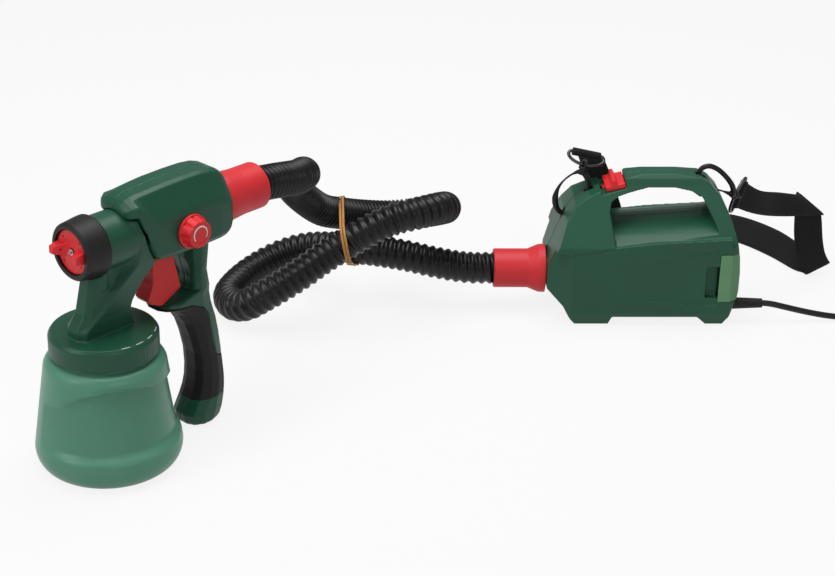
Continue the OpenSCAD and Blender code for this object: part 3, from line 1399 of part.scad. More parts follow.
jar();
jar_gasket();
spray_head();
suction_tube();
vent_tube();
vent_valve();
union_nut();
air_cap();
fluid_nozzle();
needle();
needle_spring();
needle_seal();
trigger();
trigger_pin();
gun_shell_left();
gun_shell_right();
handle_grip();
thumb_pad();
volume_knob();
knob_spindle();
gun_screws();
gun_air_inlet();
gun_hose_collar();
air_hose();
hose_band();
unit_hose_collar();
outlet_spigot();
unit_shell_left();
unit_shell_right();
power_switch();
switch_body();
filter_cover();
air_filter();
turbine_housing();
impeller();
motor_shaft();
motor_armature();
motor_stator();
front_bearing();
rear_bearing();
front_bracket();
rear_bracket();
brush_holders();
unit_screws();
cord_gland();
cord_clamp();
mains_cord();
cord_coil();
cord_tail();
cord_tie();
mains_plug();
shoulder_strap();
front_strap_hook();
front_strap_ring();
rear_strap_hook();
rear_strap_ring();
strap_slider();
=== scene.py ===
"""Looks of a portable turbine paint sprayer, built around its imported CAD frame.

Everything is in metres in the row frame: the origin is the centre of the paint jar's base,
+X runs along the turbine unit and +Z is up. Sizes in the dataclasses are in millimetres.
"""

import logging
import math
from dataclasses import dataclass, field
from enum import Enum
from typing import Callable, ClassVar, Iterable, Optional, Sequence

import bmesh
import bpy
import numpy as np
from mathutils import Matrix, Vector


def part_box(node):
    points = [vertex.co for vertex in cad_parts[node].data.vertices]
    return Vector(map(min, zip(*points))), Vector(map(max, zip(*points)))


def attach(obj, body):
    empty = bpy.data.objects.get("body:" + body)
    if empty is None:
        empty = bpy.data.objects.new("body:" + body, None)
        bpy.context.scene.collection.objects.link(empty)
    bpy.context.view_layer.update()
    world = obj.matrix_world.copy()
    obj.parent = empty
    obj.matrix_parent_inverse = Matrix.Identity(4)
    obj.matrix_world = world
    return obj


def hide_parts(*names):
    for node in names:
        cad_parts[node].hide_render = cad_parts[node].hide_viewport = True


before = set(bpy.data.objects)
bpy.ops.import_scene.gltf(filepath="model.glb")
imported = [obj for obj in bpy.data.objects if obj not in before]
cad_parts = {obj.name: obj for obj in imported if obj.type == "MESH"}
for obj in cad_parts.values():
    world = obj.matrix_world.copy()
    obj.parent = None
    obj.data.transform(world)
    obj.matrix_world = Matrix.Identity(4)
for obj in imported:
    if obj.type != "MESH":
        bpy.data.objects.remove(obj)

LOG = logging.getLogger("sprayer")
MM = 0.001
ROOT = "sprayer"
Point = tuple[float, float, float]
Faces = list[list[int]]
Solid = tuple[list[Point], Faces]
Object = bpy.types.Object
Socket = bpy.types.NodeSocket


# ---------- colours and nodes ----------


def linear(code: str) -> tuple[float, float, float, float]:
    """Turns an sRGB hex colour into linear light.

    Args:
        code: Colour such as "#1F4A38".

    Returns:
        Red, green, blue and alpha, from 0 to 1.
    """
    parts = [int(code[i : i + 2], 16) / 255 for i in (1, 3, 5)]
    light = [c / 12.92 if c <= 0.04045 else ((c + 0.055) / 1.055) ** 2.4 for c in parts]
    return (light[0], light[1], light[2], 1.0)


def add_node(
    tree: bpy.types.NodeTree,
    kind: str,
    settings: Optional[dict] = None,
    links: Optional[dict] = None,
) -> bpy.types.Node:
    """Adds one shader node with its settings and links.

    Args:
        tree: Node tree that gets the node.
        kind: Blender's name of the node type, without "ShaderNode".
        settings: Socket values by socket name or index, and the node's own attributes.
        links: Output sockets by the name or index of the input they feed.
    """
    node = tree.nodes.new("ShaderNode" + kind)
    attributes = {k: v for k, v in (settings or {}).items() if isinstance(k, str) and hasattr(node, k)}
    for key, value in attributes.items():
        setattr(node, key, value)
    for key, value in (settings or {}).items():
        if key not in attributes:
            node.inputs[key].default_value = value
    for key, socket in (links or {}).items():
        tree.links.new(socket, node.inputs[key])
    return node


class Pattern(Enum):
    """How a surface was made, which gives its fine relief."""

    SPARKED = "moulded against a spark-eroded steel tool"
    SATIN = "moulded against a polished tool"
    RUBBERY = "moulded elastomer with a fine matt skin"
    TURNED = "turned on a lathe"
    DRAWN = "drawn wire"
    WOVEN = "woven webbing"
    FOAM = "cut open-cell foam"
    LAMINATED = "stacked punched sheets"
    WOUND = "enamelled wire laid in a winding"


@dataclass(frozen=True)
class Finish:
    """One real material with its surface.

    Attributes:
        name: Common name of the material and of how it was made.
        colour: sRGB colour.
        roughness: Microfacet roughness.
        pattern: How the surface was made.
        grain_mm: Size of the surface's relief.
        depth_mm: Height of that relief.
        mottle: Share by which the colour wanders over the surface.
        metallic: 1 for a bare metal.
        ior: Refractive index of a non-metal.
        sheen: Fuzz of fabric or matt rubber.
        coat: Gloss layer.
        see_through: Share of light that passes into a translucent wall.
        glow_mm: Depth that light wanders under the skin.
    """

    name: str
    colour: str
    roughness: float
    pattern: Pattern
    grain_mm: float
    depth_mm: float
    mottle: float = 0.06
    metallic: float = 0.0
    ior: float = 1.36
    sheen: float = 0.0
    coat: float = 0.0
    see_through: float = 0.0
    glow_mm: float = 0.0
    cloud_per_m: ClassVar[float] = 22.0
    bump_strength: ClassVar[float] = 0.7
    glow_share: ClassVar[float] = 0.6
    glow_colour: ClassVar[tuple[float, float, float]] = (0.55, 1.0, 0.8)

    def relief(self, tree: bpy.types.NodeTree, where: Socket) -> Socket:
        """Gives the height of the surface's relief, from 0 to 1."""
        scale = 1.0 / (self.grain_mm * MM)
        bands = scale / 6.283

        def waves(along: str, settings: dict, vector: Socket) -> Socket:
            wave = {"wave_type": "BANDS", "bands_direction": along, **settings}
            return add_node(tree, "TexWave", wave, {"Vector": vector}).outputs["Fac"]

        if self.pattern in (Pattern.TURNED, Pattern.LAMINATED):
            return waves("X", {"Scale": bands, "Distortion": 0.4, "Detail": 2.0}, where)
        if self.pattern is Pattern.WOVEN:
            uv = add_node(tree, "UVMap", {"uv_map": "weave"}).outputs["UV"]
            ribs = waves("X", {"Scale": bands, "Distortion": 0.0}, uv)
            ends = waves("Y", {"Scale": 0.7 * bands, "Distortion": 0.0}, uv)
            return add_node(tree, "Math", {"operation": "MULTIPLY"}, {0: ribs, 1: ends}).outputs[0]
        if self.pattern in (Pattern.FOAM, Pattern.WOUND):
            cells = add_node(tree, "TexVoronoi", {"feature": "DISTANCE_TO_EDGE", "Scale": scale}, {"Vector": where})
            return cells.outputs["Distance"]
        noise = add_node(tree, "TexNoise", {"Scale": scale, "Detail": 3.0, "Roughness": 0.6}, {"Vector": where})
        return noise.outputs["Fac"]

    def material(self) -> bpy.types.Material:
        """Builds the material, once for each finish."""
        made = bpy.data.materials.get(self.name)
        if made:
            return made
        made = bpy.data.materials.new(self.name)
        made.use_nodes = True
        tree = made.node_tree
        tree.nodes.clear()
        where = add_node(tree, "TexCoord").outputs["Object"]
        grain = {"Scale": self.cloud_per_m, "Detail": 4.0, "Roughness": 0.55}
        cloud = add_node(tree, "TexNoise", grain, {"Vector": where}).outputs["Fac"]
        base = linear(self.colour)
        ramp = add_node(tree, "ValToRGB", links={"Fac": cloud})
        dark, light = ramp.color_ramp.elements[0], ramp.color_ramp.elements[1]
        dark.position, light.position = 0.3, 0.7
        dark.color = tuple(c * (1 - self.mottle) for c in base[:3]) + (1.0,)
        light.color = tuple(min(1.0, c * (1 + self.mottle)) for c in base[:3]) + (1.0,)
        height = self.relief(tree, where)
        spread = {"From Min": 0.25, "From Max": 0.75, "To Min": self.roughness - 0.04, "To Max": self.roughness + 0.05}
        shine = add_node(tree, "MapRange", spread, {"Value": cloud}).outputs["Result"]
        rise = {"Strength": self.bump_strength, "Distance": self.depth_mm * MM}
        bump = add_node(tree, "Bump", rise, {"Height": height}).outputs["Normal"]
        settings: dict = {"Metallic": self.metallic, "Coat Weight": self.coat, "Coat Roughness": 0.2}
        if not self.metallic:
            settings["IOR"] = self.ior
        if self.sheen:
            settings.update({"Sheen Weight": self.sheen, "Sheen Roughness": 0.5})
        if self.see_through:
            settings["Transmission Weight"] = self.see_through
        if self.glow_mm:
            settings["Subsurface Weight"] = self.glow_share
            settings["Subsurface Radius"] = self.glow_colour
            settings["Subsurface Scale"] = self.glow_mm * MM
        fed = {"Base Color": ramp.outputs["Color"], "Roughness": shine, "Normal": bump}
        shader = add_node(tree, "BsdfPrincipled", settings, fed)
        add_node(tree, "OutputMaterial", links={"Surface": shader.outputs["BSDF"]})
        return made


class Finishes:
    """Every finish of the sprayer."""

    # ABS from a spark-eroded tool: deep green with a soft, wide highlight
    green_abs = Finish("ABS, dark green, spark-eroded grain", "#1C4D39", 0.42, Pattern.SPARKED, 0.55, 0.03, 0.05)
    # the same ABS on the gun
    green_gun = Finish("ABS, dark green, fine grain", "#1B4A37", 0.4, Pattern.SPARKED, 0.5, 0.025, 0.05)
    # acetal from a polished tool: saturated red with a broad satin light
    red_acetal = Finish("acetal, signal red, satin", "#D0262B", 0.38, Pattern.SATIN, 0.6, 0.015, 0.04)
    # polypropylene collars: duller red, a little waxy
    red_pp = Finish("polypropylene, red, satin", "#C82B31", 0.45, Pattern.SATIN, 0.8, 0.02, 0.05)
    # trigger: the same red plastic with finer grain, its red darkened as painted shade from the gun's body above it
    red_trigger_painted_shade = Finish("red plastic, fine grain, painted shade", "#C62425", 0.42, Pattern.SPARKED, 0.5, 0.02, 0.05)
    # glass-filled polyamide of the nut: near black, dry satin
    black_pa = Finish("polyamide, black, satin", "#181716", 0.5, Pattern.SPARKED, 0.5, 0.03, 0.08)
    # black acetal of hooks and slider
    black_pom = Finish("acetal, black, satin", "#141414", 0.4, Pattern.SATIN, 0.6, 0.015, 0.06)
    # thermoplastic elastomer of the grip: soft matt black
    tpe = Finish("thermoplastic elastomer, black, matt", "#131212", 0.62, Pattern.RUBBERY, 0.4, 0.03, 0.08, sheen=0.05)
    # blown polyethylene of the jar: milky green that light enters
    jar_pe = Finish(
        "polyethylene, milky green, blown", "#579078", 0.33, Pattern.SATIN, 1.2, 0.02, 0.05,
        see_through=0.12, glow_mm=4.0,
    )
    # lighter green cover over the filter
    cover_abs = Finish("ABS, leaf green, satin", "#5E8A64", 0.42, Pattern.SPARKED, 0.55, 0.025, 0.05)
    # EVA hose: black with a wet-looking narrow light on each rib
    hose_eva = Finish("EVA, black, extruded and ribbed", "#100F0F", 0.36, Pattern.SATIN, 0.9, 0.02, 0.1)
    # natural rubber band, tan
    band = Finish("natural rubber, tan", "#B07C42", 0.55, Pattern.RUBBERY, 0.4, 0.02, 0.08, glow_mm=0.6)
    # PVC sheath of the mains cord
    pvc = Finish("PVC, black, extruded", "#1A1A1A", 0.38, Pattern.SATIN, 0.7, 0.02, 0.08)
    # polypropylene webbing: threads 1.1 mm apart, drawn that coarse so that they show
    webbing = Finish(
        "polypropylene webbing, black, woven", "#0D0D0D", 0.78, Pattern.WOVEN, 1.1, 0.25, 0.1, sheen=0.06
    )
    ring_steel = Finish("steel wire, black nickel plated", "#55565A", 0.3, Pattern.DRAWN, 0.6, 0.01, 0.05, metallic=1.0)
    steel = Finish("carbon steel, turned, bright", "#B9BBBE", 0.28, Pattern.TURNED, 0.4, 0.01, 0.04, metallic=1.0)
    zinc = Finish("steel, zinc plated", "#A9ABAE", 0.35, Pattern.DRAWN, 0.5, 0.01, 0.06, metallic=1.0)
    brass = Finish("brass, turned", "#B99B58", 0.27, Pattern.TURNED, 0.4, 0.01, 0.04, metallic=1.0)
    foam = Finish("polyurethane foam, charcoal, cut", "#4A4A48", 0.85, Pattern.FOAM, 1.6, 0.5, 0.12)
    lamination = Finish(
        "electrical steel, stacked sheets", "#5C5E60", 0.45, Pattern.LAMINATED, 0.8, 0.05, 0.08, metallic=1.0
    )
    copper = Finish("copper wire, enamelled, wound", "#9A5A34", 0.36, Pattern.WOUND, 0.9, 0.2, 0.1, metallic=1.0)
    white_print = Finish("pad-printed ink, pale grey", "#D9DAD6", 0.5, Pattern.SATIN, 0.6, 0.005, 0.03)
    gasket = Finish("nitrile rubber, black", "#191919", 0.55, Pattern.RUBBERY, 0.5, 0.02, 0.08)


# ---------- meshes ----------


def mesh_object(name: str, verts: Iterable[Sequence[float]], faces: Iterable[Sequence[int]]) -> Object:
    """Makes a smooth-shaded mesh object in the row frame.

    Args:
        name: Name of the object.
        verts: Points in metres.
        faces: Faces as lists of point numbers.
    """
    mesh = bpy.data.meshes.new(name)
    mesh.from_pydata([tuple(v) for v in verts], [], [tuple(f) for f in faces])
    mesh.validate()
    shell = bmesh.new()
    shell.from_mesh(mesh)
    bmesh.ops.recalc_face_normals(shell, faces=shell.faces)
    shell.to_mesh(mesh)
    shell.free()
    mesh.shade_smooth()
    made = bpy.data.objects.new(name, mesh)
    bpy.context.scene.collection.objects.link(made)
    return made


def in_metres(points: Iterable[Sequence[float]]) -> list[Point]:
    """Points given in millimetres, in metres."""
    return [tuple(c * MM for c in p) for p in points]


def between(a: np.ndarray, b: np.ndarray, c: np.ndarray, d: np.ndarray, t: float) -> np.ndarray:
    """Point at t, 0 to 1, between b and c of a smooth curve through four points."""
    return 0.5 * (2 * b + t * (c - a) + t * t * (2 * a - 5 * b + 4 * c - d) + t**3 * (3 * b - a - 3 * c + d))


def smooth_line(points: Sequence[Sequence[float]], parts: int) -> np.ndarray:
    """Runs a smooth curve through points.

    Args:
        points: Points that the curve passes.
        parts: Steps between two points.
    """
    p = np.array(points, float)
    last = len(p) - 1
    line = []
    for i in range(last * parts + 1):
        k = min(i // parts, last - 1)
        line.append(between(p[max(k - 1, 0)], p[k], p[k + 1], p[min(k + 2, last)], i / parts - k))
    return np.array(line)


def running(line: np.ndarray) -> np.ndarray:
    """Running length at each point of a line."""
    return np.concatenate([[0.0], np.cumsum(np.linalg.norm(np.diff(line, axis=0), axis=1))])


def resample(line: np.ndarray, places: np.ndarray) -> np.ndarray:
    """Points of a line at given running lengths."""
    run = running(line)
    return np.stack([np.interp(places, run, line[:, i]) for i in range(3)], axis=1)


def side_frames(line: np.ndarray) -> tuple[np.ndarray, np.ndarray]:
    """Two side directions at each point of a line, turned as little as possible from one to the next.

    Args:
        line: Points of the line.

    Returns:
        The first and the second side directions.
    """
    ahead = np.gradient(line, axis=0)
    ahead /= np.linalg.norm(ahead, axis=1)[:, None]
    first = np.zeros_like(line)
    side = np.array([0.0, 0.0, 1.0]) if abs(ahead[0][2]) < 0.9 else np.array([1.0, 0.0, 0.0])
    for i, h in enumerate(ahead):
        side = side - (side @ h) * h
        side /= np.linalg.norm(side)
        first[i] = side
    return first, np.cross(ahead, first)


def ring_faces(rings: int, sides: int, start: int = 0, closed: bool = False, inward: bool = False) -> Faces:
    """Faces between rings of equal point counts.

    Args:
        rings: Number of rings.
        sides: Points in a ring.
        start: Number of the first point.
        closed: Whether the last ring meets the first.
        inward: Whether the faces look towards the axis.

    Returns:
        Quads as lists of point numbers.
    """
    faces = []
    for j in range(rings if closed else rings - 1):
        a, b = start + j * sides, start + ((j + 1) % rings) * sides
        for i in range(sides):
            k = (i + 1) % sides
            quad = [a + i, a + k, b + k, b + i]
            faces.append(quad[::-1] if inward else quad)
    return faces


def end_caps(rings: int, sides: int, start: int = 0) -> Faces:
    """Faces that close the first and the last of a run of rings."""
    last = start + (rings - 1) * sides
    return [[start + i for i in range(sides)][::-1], [last + i for i in range(sides)]]


def tube(
    name: str,
    line: np.ndarray,
    radius: Callable[[int, float], float],
    sides: int,
    bore: float = 0.0,
) -> Object:
    """Makes a tube along a line.

    Args:
        name: Name of the object.
        line: Centreline in metres.
        radius: Gives the radius at a ring's number and an angle in turns.
        sides: Points in a ring.
        bore: Radius of the bore, or 0 for a solid rod.
    """
    first, second = side_frames(line)
    verts: list[np.ndarray] = []
    turns = np.arange(sides) / sides
    for j, point in enumerate(line):
        for t in turns:
            a = 2 * math.pi * t
            verts.append(point + radius(j, t) * (math.cos(a) * first[j] + math.sin(a) * second[j]))
    count = len(line)
    faces = ring_faces(count, sides)
    if not bore:
        return mesh_object(name, verts, faces + end_caps(count, sides))
    start = len(verts)
    coarse = 4
    keep = list(range(0, count, coarse)) + ([count - 1] if (count - 1) % coarse else [])
    for j in keep:
        for t in turns:
            a = 2 * math.pi * t
            verts.append(line[j] + bore * (math.cos(a) * first[j] + math.sin(a) * second[j]))
    faces += ring_faces(len(keep), sides, start, inward=True)
    for i in range(sides):
        k = (i + 1) % sides
        faces.append([i, start + i, start + k, k])
        end, inner = (count - 1) * sides, start + (len(keep) - 1) * sides
        faces.append([end + i, end + k, inner + k, inner + i])
    return mesh_object(name, verts, faces)


def wire_loop(
    name: str, points: np.ndarray, radii: Sequence[float], normal: Sequence[float], sides: int = 14
) -> Object:
    """Makes a closed loop of wire in one plane.

    Args:
        name: Name of the object.
        points: Points of the loop in metres.
        radii: Radius at each point in metres.
        normal: Normal of the loop's plane.
        sides: Points in a ring.
    """
    n = np.array(normal, float)
    n /= np.linalg.norm(n)
    ahead = np.roll(points, -1, axis=0) - np.roll(points, 1, axis=0)
    verts = []
    for p, h, r in zip(points, ahead, radii):
        b = np.cross(h / np.linalg.norm(h), n)
        for i in range(sides):
            a = 2 * math.pi * i / sides
            verts.append(p + r * (math.cos(a) * n + math.sin(a) * b))
    return mesh_object(name, verts, ring_faces(len(points), sides, closed=True))


def closed_curve(
    points: Sequence[Sequence[float]], values: Sequence[float], parts: int
) -> tuple[np.ndarray, np.ndarray]:
    """Runs a smooth closed curve through points, with a value that follows it."""
    p = np.array(points, float)
    v = np.array(values, float)
    count = len(p)
    line, follow = [], []
    for k in range(count):
        for i in range(parts):
            t = i / parts
            line.append(between(p[k - 1], p[k], p[(k + 1) % count], p[(k + 2) % count], t))
            follow.append(v[k] + (v[(k + 1) % count] - v[k]) * t)
    return np.array(line), np.array(follow)


def dress(
    piece: Object,
    finish: Finish,
    body: str,
    replaces: Sequence[str] = (),
) -> Object:
    """Gives a piece its finish, its body and the nodes it stands for.

    Args:
        piece: The piece, in place.
        finish: Its finish.
        body: CAD body it moves with.
        replaces: CAD nodes it stands for.
    """
    piece.data.materials.clear()
    piece.data.materials.append(finish.material())
    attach(piece, body)
    if replaces:
        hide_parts(*replaces)
    LOG.info("piece %s rides on %s", piece.name, body)
    return piece


def prism(outline: Sequence[Sequence[float]], y0: float, y1: float) -> Solid:
    """Solid between two planes of y over an outline in x and z, in millimetres."""
    n = len(outline)
    verts = [(x, y0, z) for x, z in outline] + [(x, y1, z) for x, z in outline]
    faces = [list(range(n)), [2 * n - 1 - i for i in range(n)]]
    faces += [[i, n + i, n + (i + 1) % n, (i + 1) % n] for i in range(n)]
    return verts, faces


@dataclass
class Moulding:
    """A rigid CAD node shown with rounded, moulded edges.

    Attributes:
        node: CAD node that it stands for.
        name: Name of the piece.
        finish: Its finish.
        body: CAD body it moves with.
        slot: The record's material slot, not used.
        voxel_mm: Size of the grid that rounds the edges.
        rounding: Passes of smoothing.
        keep: Share of the faces that stay.
        cutters: Solids in millimetres that are cut out first.
    """

    node: str
    name: str
    finish: Finish
    slot: str
    body: str = ROOT
    voxel_mm: float = 0.7
    rounding: int = 3
    keep: float = 0.4
    cutters: list[Solid] = field(default_factory=list)

    def build(self) -> Object:
        """Makes the piece from the CAD node's mesh."""
        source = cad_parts[self.node]
        work = bpy.data.objects.new("work_" + self.name, source.data.copy())
        bpy.context.scene.collection.objects.link(work)
        weld = work.modifiers.new("weld", "WELD")
        weld.merge_threshold = 0.01 * MM
        tools = []
        for verts, faces in self.cutters:
            tools.append(mesh_object("tool", in_metres(verts), faces))
            cut = work.modifiers.new("cut", "BOOLEAN")
            cut.operation, cut.solver, cut.object = "DIFFERENCE", "EXACT", tools[-1]
        grid = work.modifiers.new("grid", "REMESH")
        grid.mode, grid.voxel_size, grid.use_smooth_shade = "VOXEL", self.voxel_mm * MM, True
        soft = work.modifiers.new("soft", "SMOOTH")
        soft.factor, soft.iterations = 0.5, self.rounding
        thin = work.modifiers.new("thin", "DECIMATE")
        thin.ratio = self.keep
        even = work.modifiers.new("even", "WEIGHTED_NORMAL")
        even.weight = 60
        mesh = bpy.data.meshes.new_from_object(work.evaluated_get(bpy.context.evaluated_depsgraph_get()))
        for spent in [work, *tools]:
            bpy.data.objects.remove(spent)
        piece = bpy.data.objects.new(self.name, mesh)
        mesh.name = self.name
        bpy.context.scene.collection.objects.link(piece)
        return dress(piece, self.finish, self.body, [self.node])


# ---------- studio ----------


@dataclass
class Studio:
    """Camera, floor and lamps.

    Attributes:
        eye_mm: Place of the camera.
        yaw: Turn of the view to the left, in degrees.
        pitch: Tilt of the view downwards, in degrees.
        roll: Roll of the camera, in degrees.
        lens_mm: Focal length on a sensor 36 mm wide.
    """

    eye_mm: Point = (204.9, -1548.1, 913.0)
    yaw: float = -2.43
    pitch: float = 25.68
    roll: float = 1.11
    lens_mm: float = 86.23

    def camera(self) -> None:
        """Sets up the camera."""
        yaw, pitch, roll = (math.radians(a) for a in (self.yaw, self.pitch, self.roll))
        ahead = Vector((-math.sin(yaw) * math.cos(pitch), math.cos(yaw) * math.cos(pitch), -math.sin(pitch)))
        right = Vector((math.cos(yaw), math.sin(yaw), 0.0))
        up = right.cross(ahead)
        x = right * math.cos(roll) + up * math.sin(roll)
        y = up * math.cos(roll) - right * math.sin(roll)
        lens = bpy.data.cameras.new("camera")
        lens.sensor_fit, lens.sensor_width, lens.lens = "HORIZONTAL", 36.0, self.lens_mm
        lens.clip_start, lens.clip_end = 0.05, 30.0
        holder = bpy.data.objects.new("camera", lens)
        holder.matrix_world = Matrix(
            (
                (x.x, y.x, -ahead.x, self.eye_mm[0] * MM),
                (x.y, y.y, -ahead.y, self.eye_mm[1] * MM),
                (x.z, y.z, -ahead.z, self.eye_mm[2] * MM),
                (0, 0, 0, 1),
            )
        )
        bpy.context.scene.collection.objects.link(holder)
        bpy.context.scene.camera = holder

    def floor(self) -> None:
        """Lays a pale floor that keeps soft shadows."""
        half, below = 6.0, -0.0002
        corners = [(-half, -half, below), (half, -half, below), (half, half, below), (-half, half, below)]
        floor = mesh_object("studio_floor", corners, [[0, 1, 2, 3]])
        paper = bpy.data.materials.new("background paper, white, matt")
        paper.use_nodes = True
        tree = paper.node_tree
        tree.nodes.clear()
        grain = add_node(tree, "TexNoise", {"Scale": 900.0})
        tone = add_node(tree, "MapRange", {"To Min": 0.6, "To Max": 0.62}, {"Value": grain.outputs["Fac"]})
        matt = add_node(tree, "BsdfDiffuse", links={"Color": tone.outputs["Result"]})
        glow = add_node(tree, "Emission", {"Color": (1, 1, 1, 1), "Strength": 1.0})
        path = add_node(tree, "LightPath").outputs
        seen = path["Is Camera Ray"]
        for ray in ("Is Glossy Ray", "Is Transmission Ray"):
            seen = add_node(tree, "Math", {"operation": "MAXIMUM"}, {0: seen, 1: path[ray]}).outputs[0]
        share = add_node(tree, "Math", {"operation": "MULTIPLY", 1: 0.86}, {0: seen})
        mix = add_node(tree, "MixShader", links={0: share.outputs[0], 1: matt.outputs[0], 2: glow.outputs[0]})
        add_node(tree, "OutputMaterial", links={"Surface": mix.outputs[0]})
        floor.data.materials.append(paper)

    def sky(self) -> None:
        """Lights the surroundings evenly, white to the camera."""
        world = bpy.data.worlds.new("studio")
        bpy.context.scene.world = world
        world.use_nodes = True
        tree = world.node_tree
        tree.nodes.clear()
        path = add_node(tree, "LightPath")
        seen = path.outputs["Is Camera Ray"]
        strength = add_node(tree, "MapRange", {"To Min": 0.3, "To Max": 1.0}, {"Value": seen})
        back = add_node(tree, "Background", {"Color": (1, 1, 1, 1)}, {"Strength": strength.outputs["Result"]})
        add_node(tree, "OutputWorld", links={"Surface": back.outputs[0]})

    def lamp(self, name: str, place: Point, target: Point, size: tuple[float, float], watts: float) -> None:
        """Hangs one soft box.

        Args:
            name: Name of the lamp.
            place: Its place in metres.
            target: Point that it faces, in metres.
            size: Width and height in metres.
            watts: Its power.
        """
        light = bpy.data.lights.new(name, "AREA")
        light.shape, light.size, light.size_y, light.energy = "RECTANGLE", size[0], size[1], watts
        holder = bpy.data.objects.new(name, light)
        holder.location = place
        holder.rotation_euler = (Vector(target) - Vector(place)).to_track_quat("-Z", "Y").to_euler()
        bpy.context.scene.collection.objects.link(holder)

    def build(self) -> None:
        """Builds the studio."""
        self.camera()
        self.floor()
        self.sky()
        self.lamp("overhead_box", (0.2, 0.3, 1.9), (0.3, 0.2, 0.0), (2.0, 1.0), 36.0)
        self.lamp("left_box", (-1.5, -0.9, 1.3), (0.2, 0.15, 0.12), (0.8, 1.2), 15.0)
        self.lamp("front_box", (1.0, -2.0, 1.3), (0.35, 0.2, 0.08), (1.2, 0.8), 8.0)
        bpy.context.scene.view_settings.view_transform = "Standard"
        LOG.info("studio is set")


# ---------- hose and cord ----------


@dataclass
class Hose:
    """The ribbed air hose.

    Attributes:
        route_mm: Points of the middle line from the gun to the turbine unit.
        radius_mm: Radius over the ribs.
        rib_mm: Depth of the ribs.
        bore_mm: Radius of the bore.
        pitch_mm: Pitch of the one helical rib on the open length.
        tight_mm: Its pitch where the hose is squeezed together, near the gun.
        tight_length_mm: Length of the squeezed part.
        ease_mm: Length over which the pitch opens.
    """

    route_mm: tuple[Point, ...] = (
        (121.622, 121.622, 210.5), (126.572, 126.572, 210.5), (144.5, 143.5, 207.5), (163, 170, 200),
        (169, 210, 187), (162, 241, 170), (158, 266, 150), (170, 290, 126), (186, 306, 108),
        (204, 321, 98), (228, 336, 89), (254, 346, 84), (280, 348, 86), (301, 336, 95),
        (310, 308, 110), (300, 286, 118), (276, 270, 119), (256, 266, 115), (234, 263, 105),
        (212, 262, 92), (190, 260, 78), (163, 254, 60), (142, 251, 47), (126, 251, 37),
        (110, 256, 26), (96, 272, 19), (91, 300, 17), (104, 334, 19), (124, 353, 26),
        (147, 360, 35), (172, 357, 43), (204, 342, 50), (236, 327, 54), (270, 316, 53),
        (300, 311, 48), (322, 310, 44), (340, 310, 42), (361, 310, 42), (374, 310, 42),
    )
    radius_mm: float = 16.5
    rib_mm: float = 2.4
    bore_mm: float = 13.0
    pitch_mm: float = 8.3
    tight_mm: float = 4.6
    tight_length_mm: float = 330.0
    ease_mm: float = 120.0
    steps_per_rib: int = 8
    sides: int = 36

    def places(self, length: float) -> np.ndarray:
        """Running lengths of the rings, closer where the ribs are closer."""
        at, out = 0.0, []
        while at < length:
            out.append(at)
            open_share = min(1.0, max(0.0, (at - self.tight_length_mm) / self.ease_mm))
            at += (self.tight_mm + (self.pitch_mm - self.tight_mm) * open_share) / self.steps_per_rib
        return np.array(out + [length])

    def build(self) -> Object:
        """Makes the hose with one helical rib."""
        line = smooth_line(self.route_mm, 12)
        length = running(line)[-1]
        places = self.places(length)
        centres = resample(line, places) * MM
        last = len(places) - 1
        straight = 2 * self.steps_per_rib

        def radius(ring: int, turn: float) -> float:
            phase = ring / self.steps_per_rib - turn
            crest = (0.5 + 0.5 * math.cos(2 * math.pi * phase)) ** 0.75
            fade = min(1.0, ring / straight, (last - ring) / straight)
            return (self.radius_mm - self.rib_mm * (1 - crest * fade)) * MM

        hose = tube("air_hose_ribbed", centres, radius, self.sides, self.bore_mm * MM)
        dress(hose, Finishes.hose_eva, ROOT, ["air_hose"])
        return hose


@dataclass
class HoseBand:
    """Rubber band laid twice round the three strands of the hose.

    Attributes:
        half_width_mm: Half the width of a run.
        gap_mm: Distance between the two runs' middles.
        thick_mm: Thickness of the rubber.
        section: Section of a run: share of the half width, and of the thickness.
        same_turn: Turn within which two rim points are one, in radians.
        slack_m: Depth under the outermost point that still counts as the rim.
    """

    half_width_mm: float = 1.15
    gap_mm: float = 2.9
    thick_mm: float = 1.5
    section: tuple[tuple[float, float], ...] = ((-1, 0.15), (1, 0.15), (1, 0.85), (0.6, 1), (-0.6, 1), (-1, 0.85))
    same_turn: float = 0.01
    slack_m: float = 0.0004

    def build(self) -> None:
        """Makes the two runs of the band along the CAD band's outline."""
        verts = np.array([v.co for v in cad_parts["hose_band"].data.vertices])
        middle = verts.mean(0)
        normal = np.linalg.svd(verts - middle)[2][2]
        normal *= np.sign(normal[0])
        flat = verts - np.outer((verts - middle) @ normal, normal)
        ahead = np.cross(normal, [0, 0, 1.0])
        ahead /= np.linalg.norm(ahead)
        up = np.cross(ahead, normal)
        a, b = (flat - middle) @ ahead, (flat - middle) @ up
        angles = np.arctan2(b, a)
        reach = np.hypot(a, b)
        order = np.argsort(angles)
        rim = []
        for i in order:
            near = reach[np.abs(np.angle(np.exp(1j * (angles - angles[i])))) < 0.05]
            if reach[i] >= near.max() - self.slack_m and (not rim or angles[i] - rim[-1][0] > self.same_turn):
                rim.append((angles[i], reach[i]))
        ring = np.array([middle + r * (math.cos(t) * ahead + math.sin(t) * up) for t, r in rim])
        out = ring - middle
        out /= np.linalg.norm(out, axis=1)[:, None]
        base = ring - out * self.thick_mm * MM
        verts_all: list[np.ndarray] = []
        faces: Faces = []
        for side in (-1, 1):
            start = len(verts_all)
            for p, o in zip(base, out):
                mid = p + normal * side * self.gap_mm / 2 * MM
                w, t = self.half_width_mm * MM * normal, self.thick_mm * MM * o
                verts_all += [mid + across * w + up_share * t for across, up_share in self.section]
            faces += ring_faces(len(base), len(self.section), start, closed=True)
        band = mesh_object("hose_rubber_band", verts_all, faces)
        dress(band, Finishes.band, ROOT, ["hose_band"])


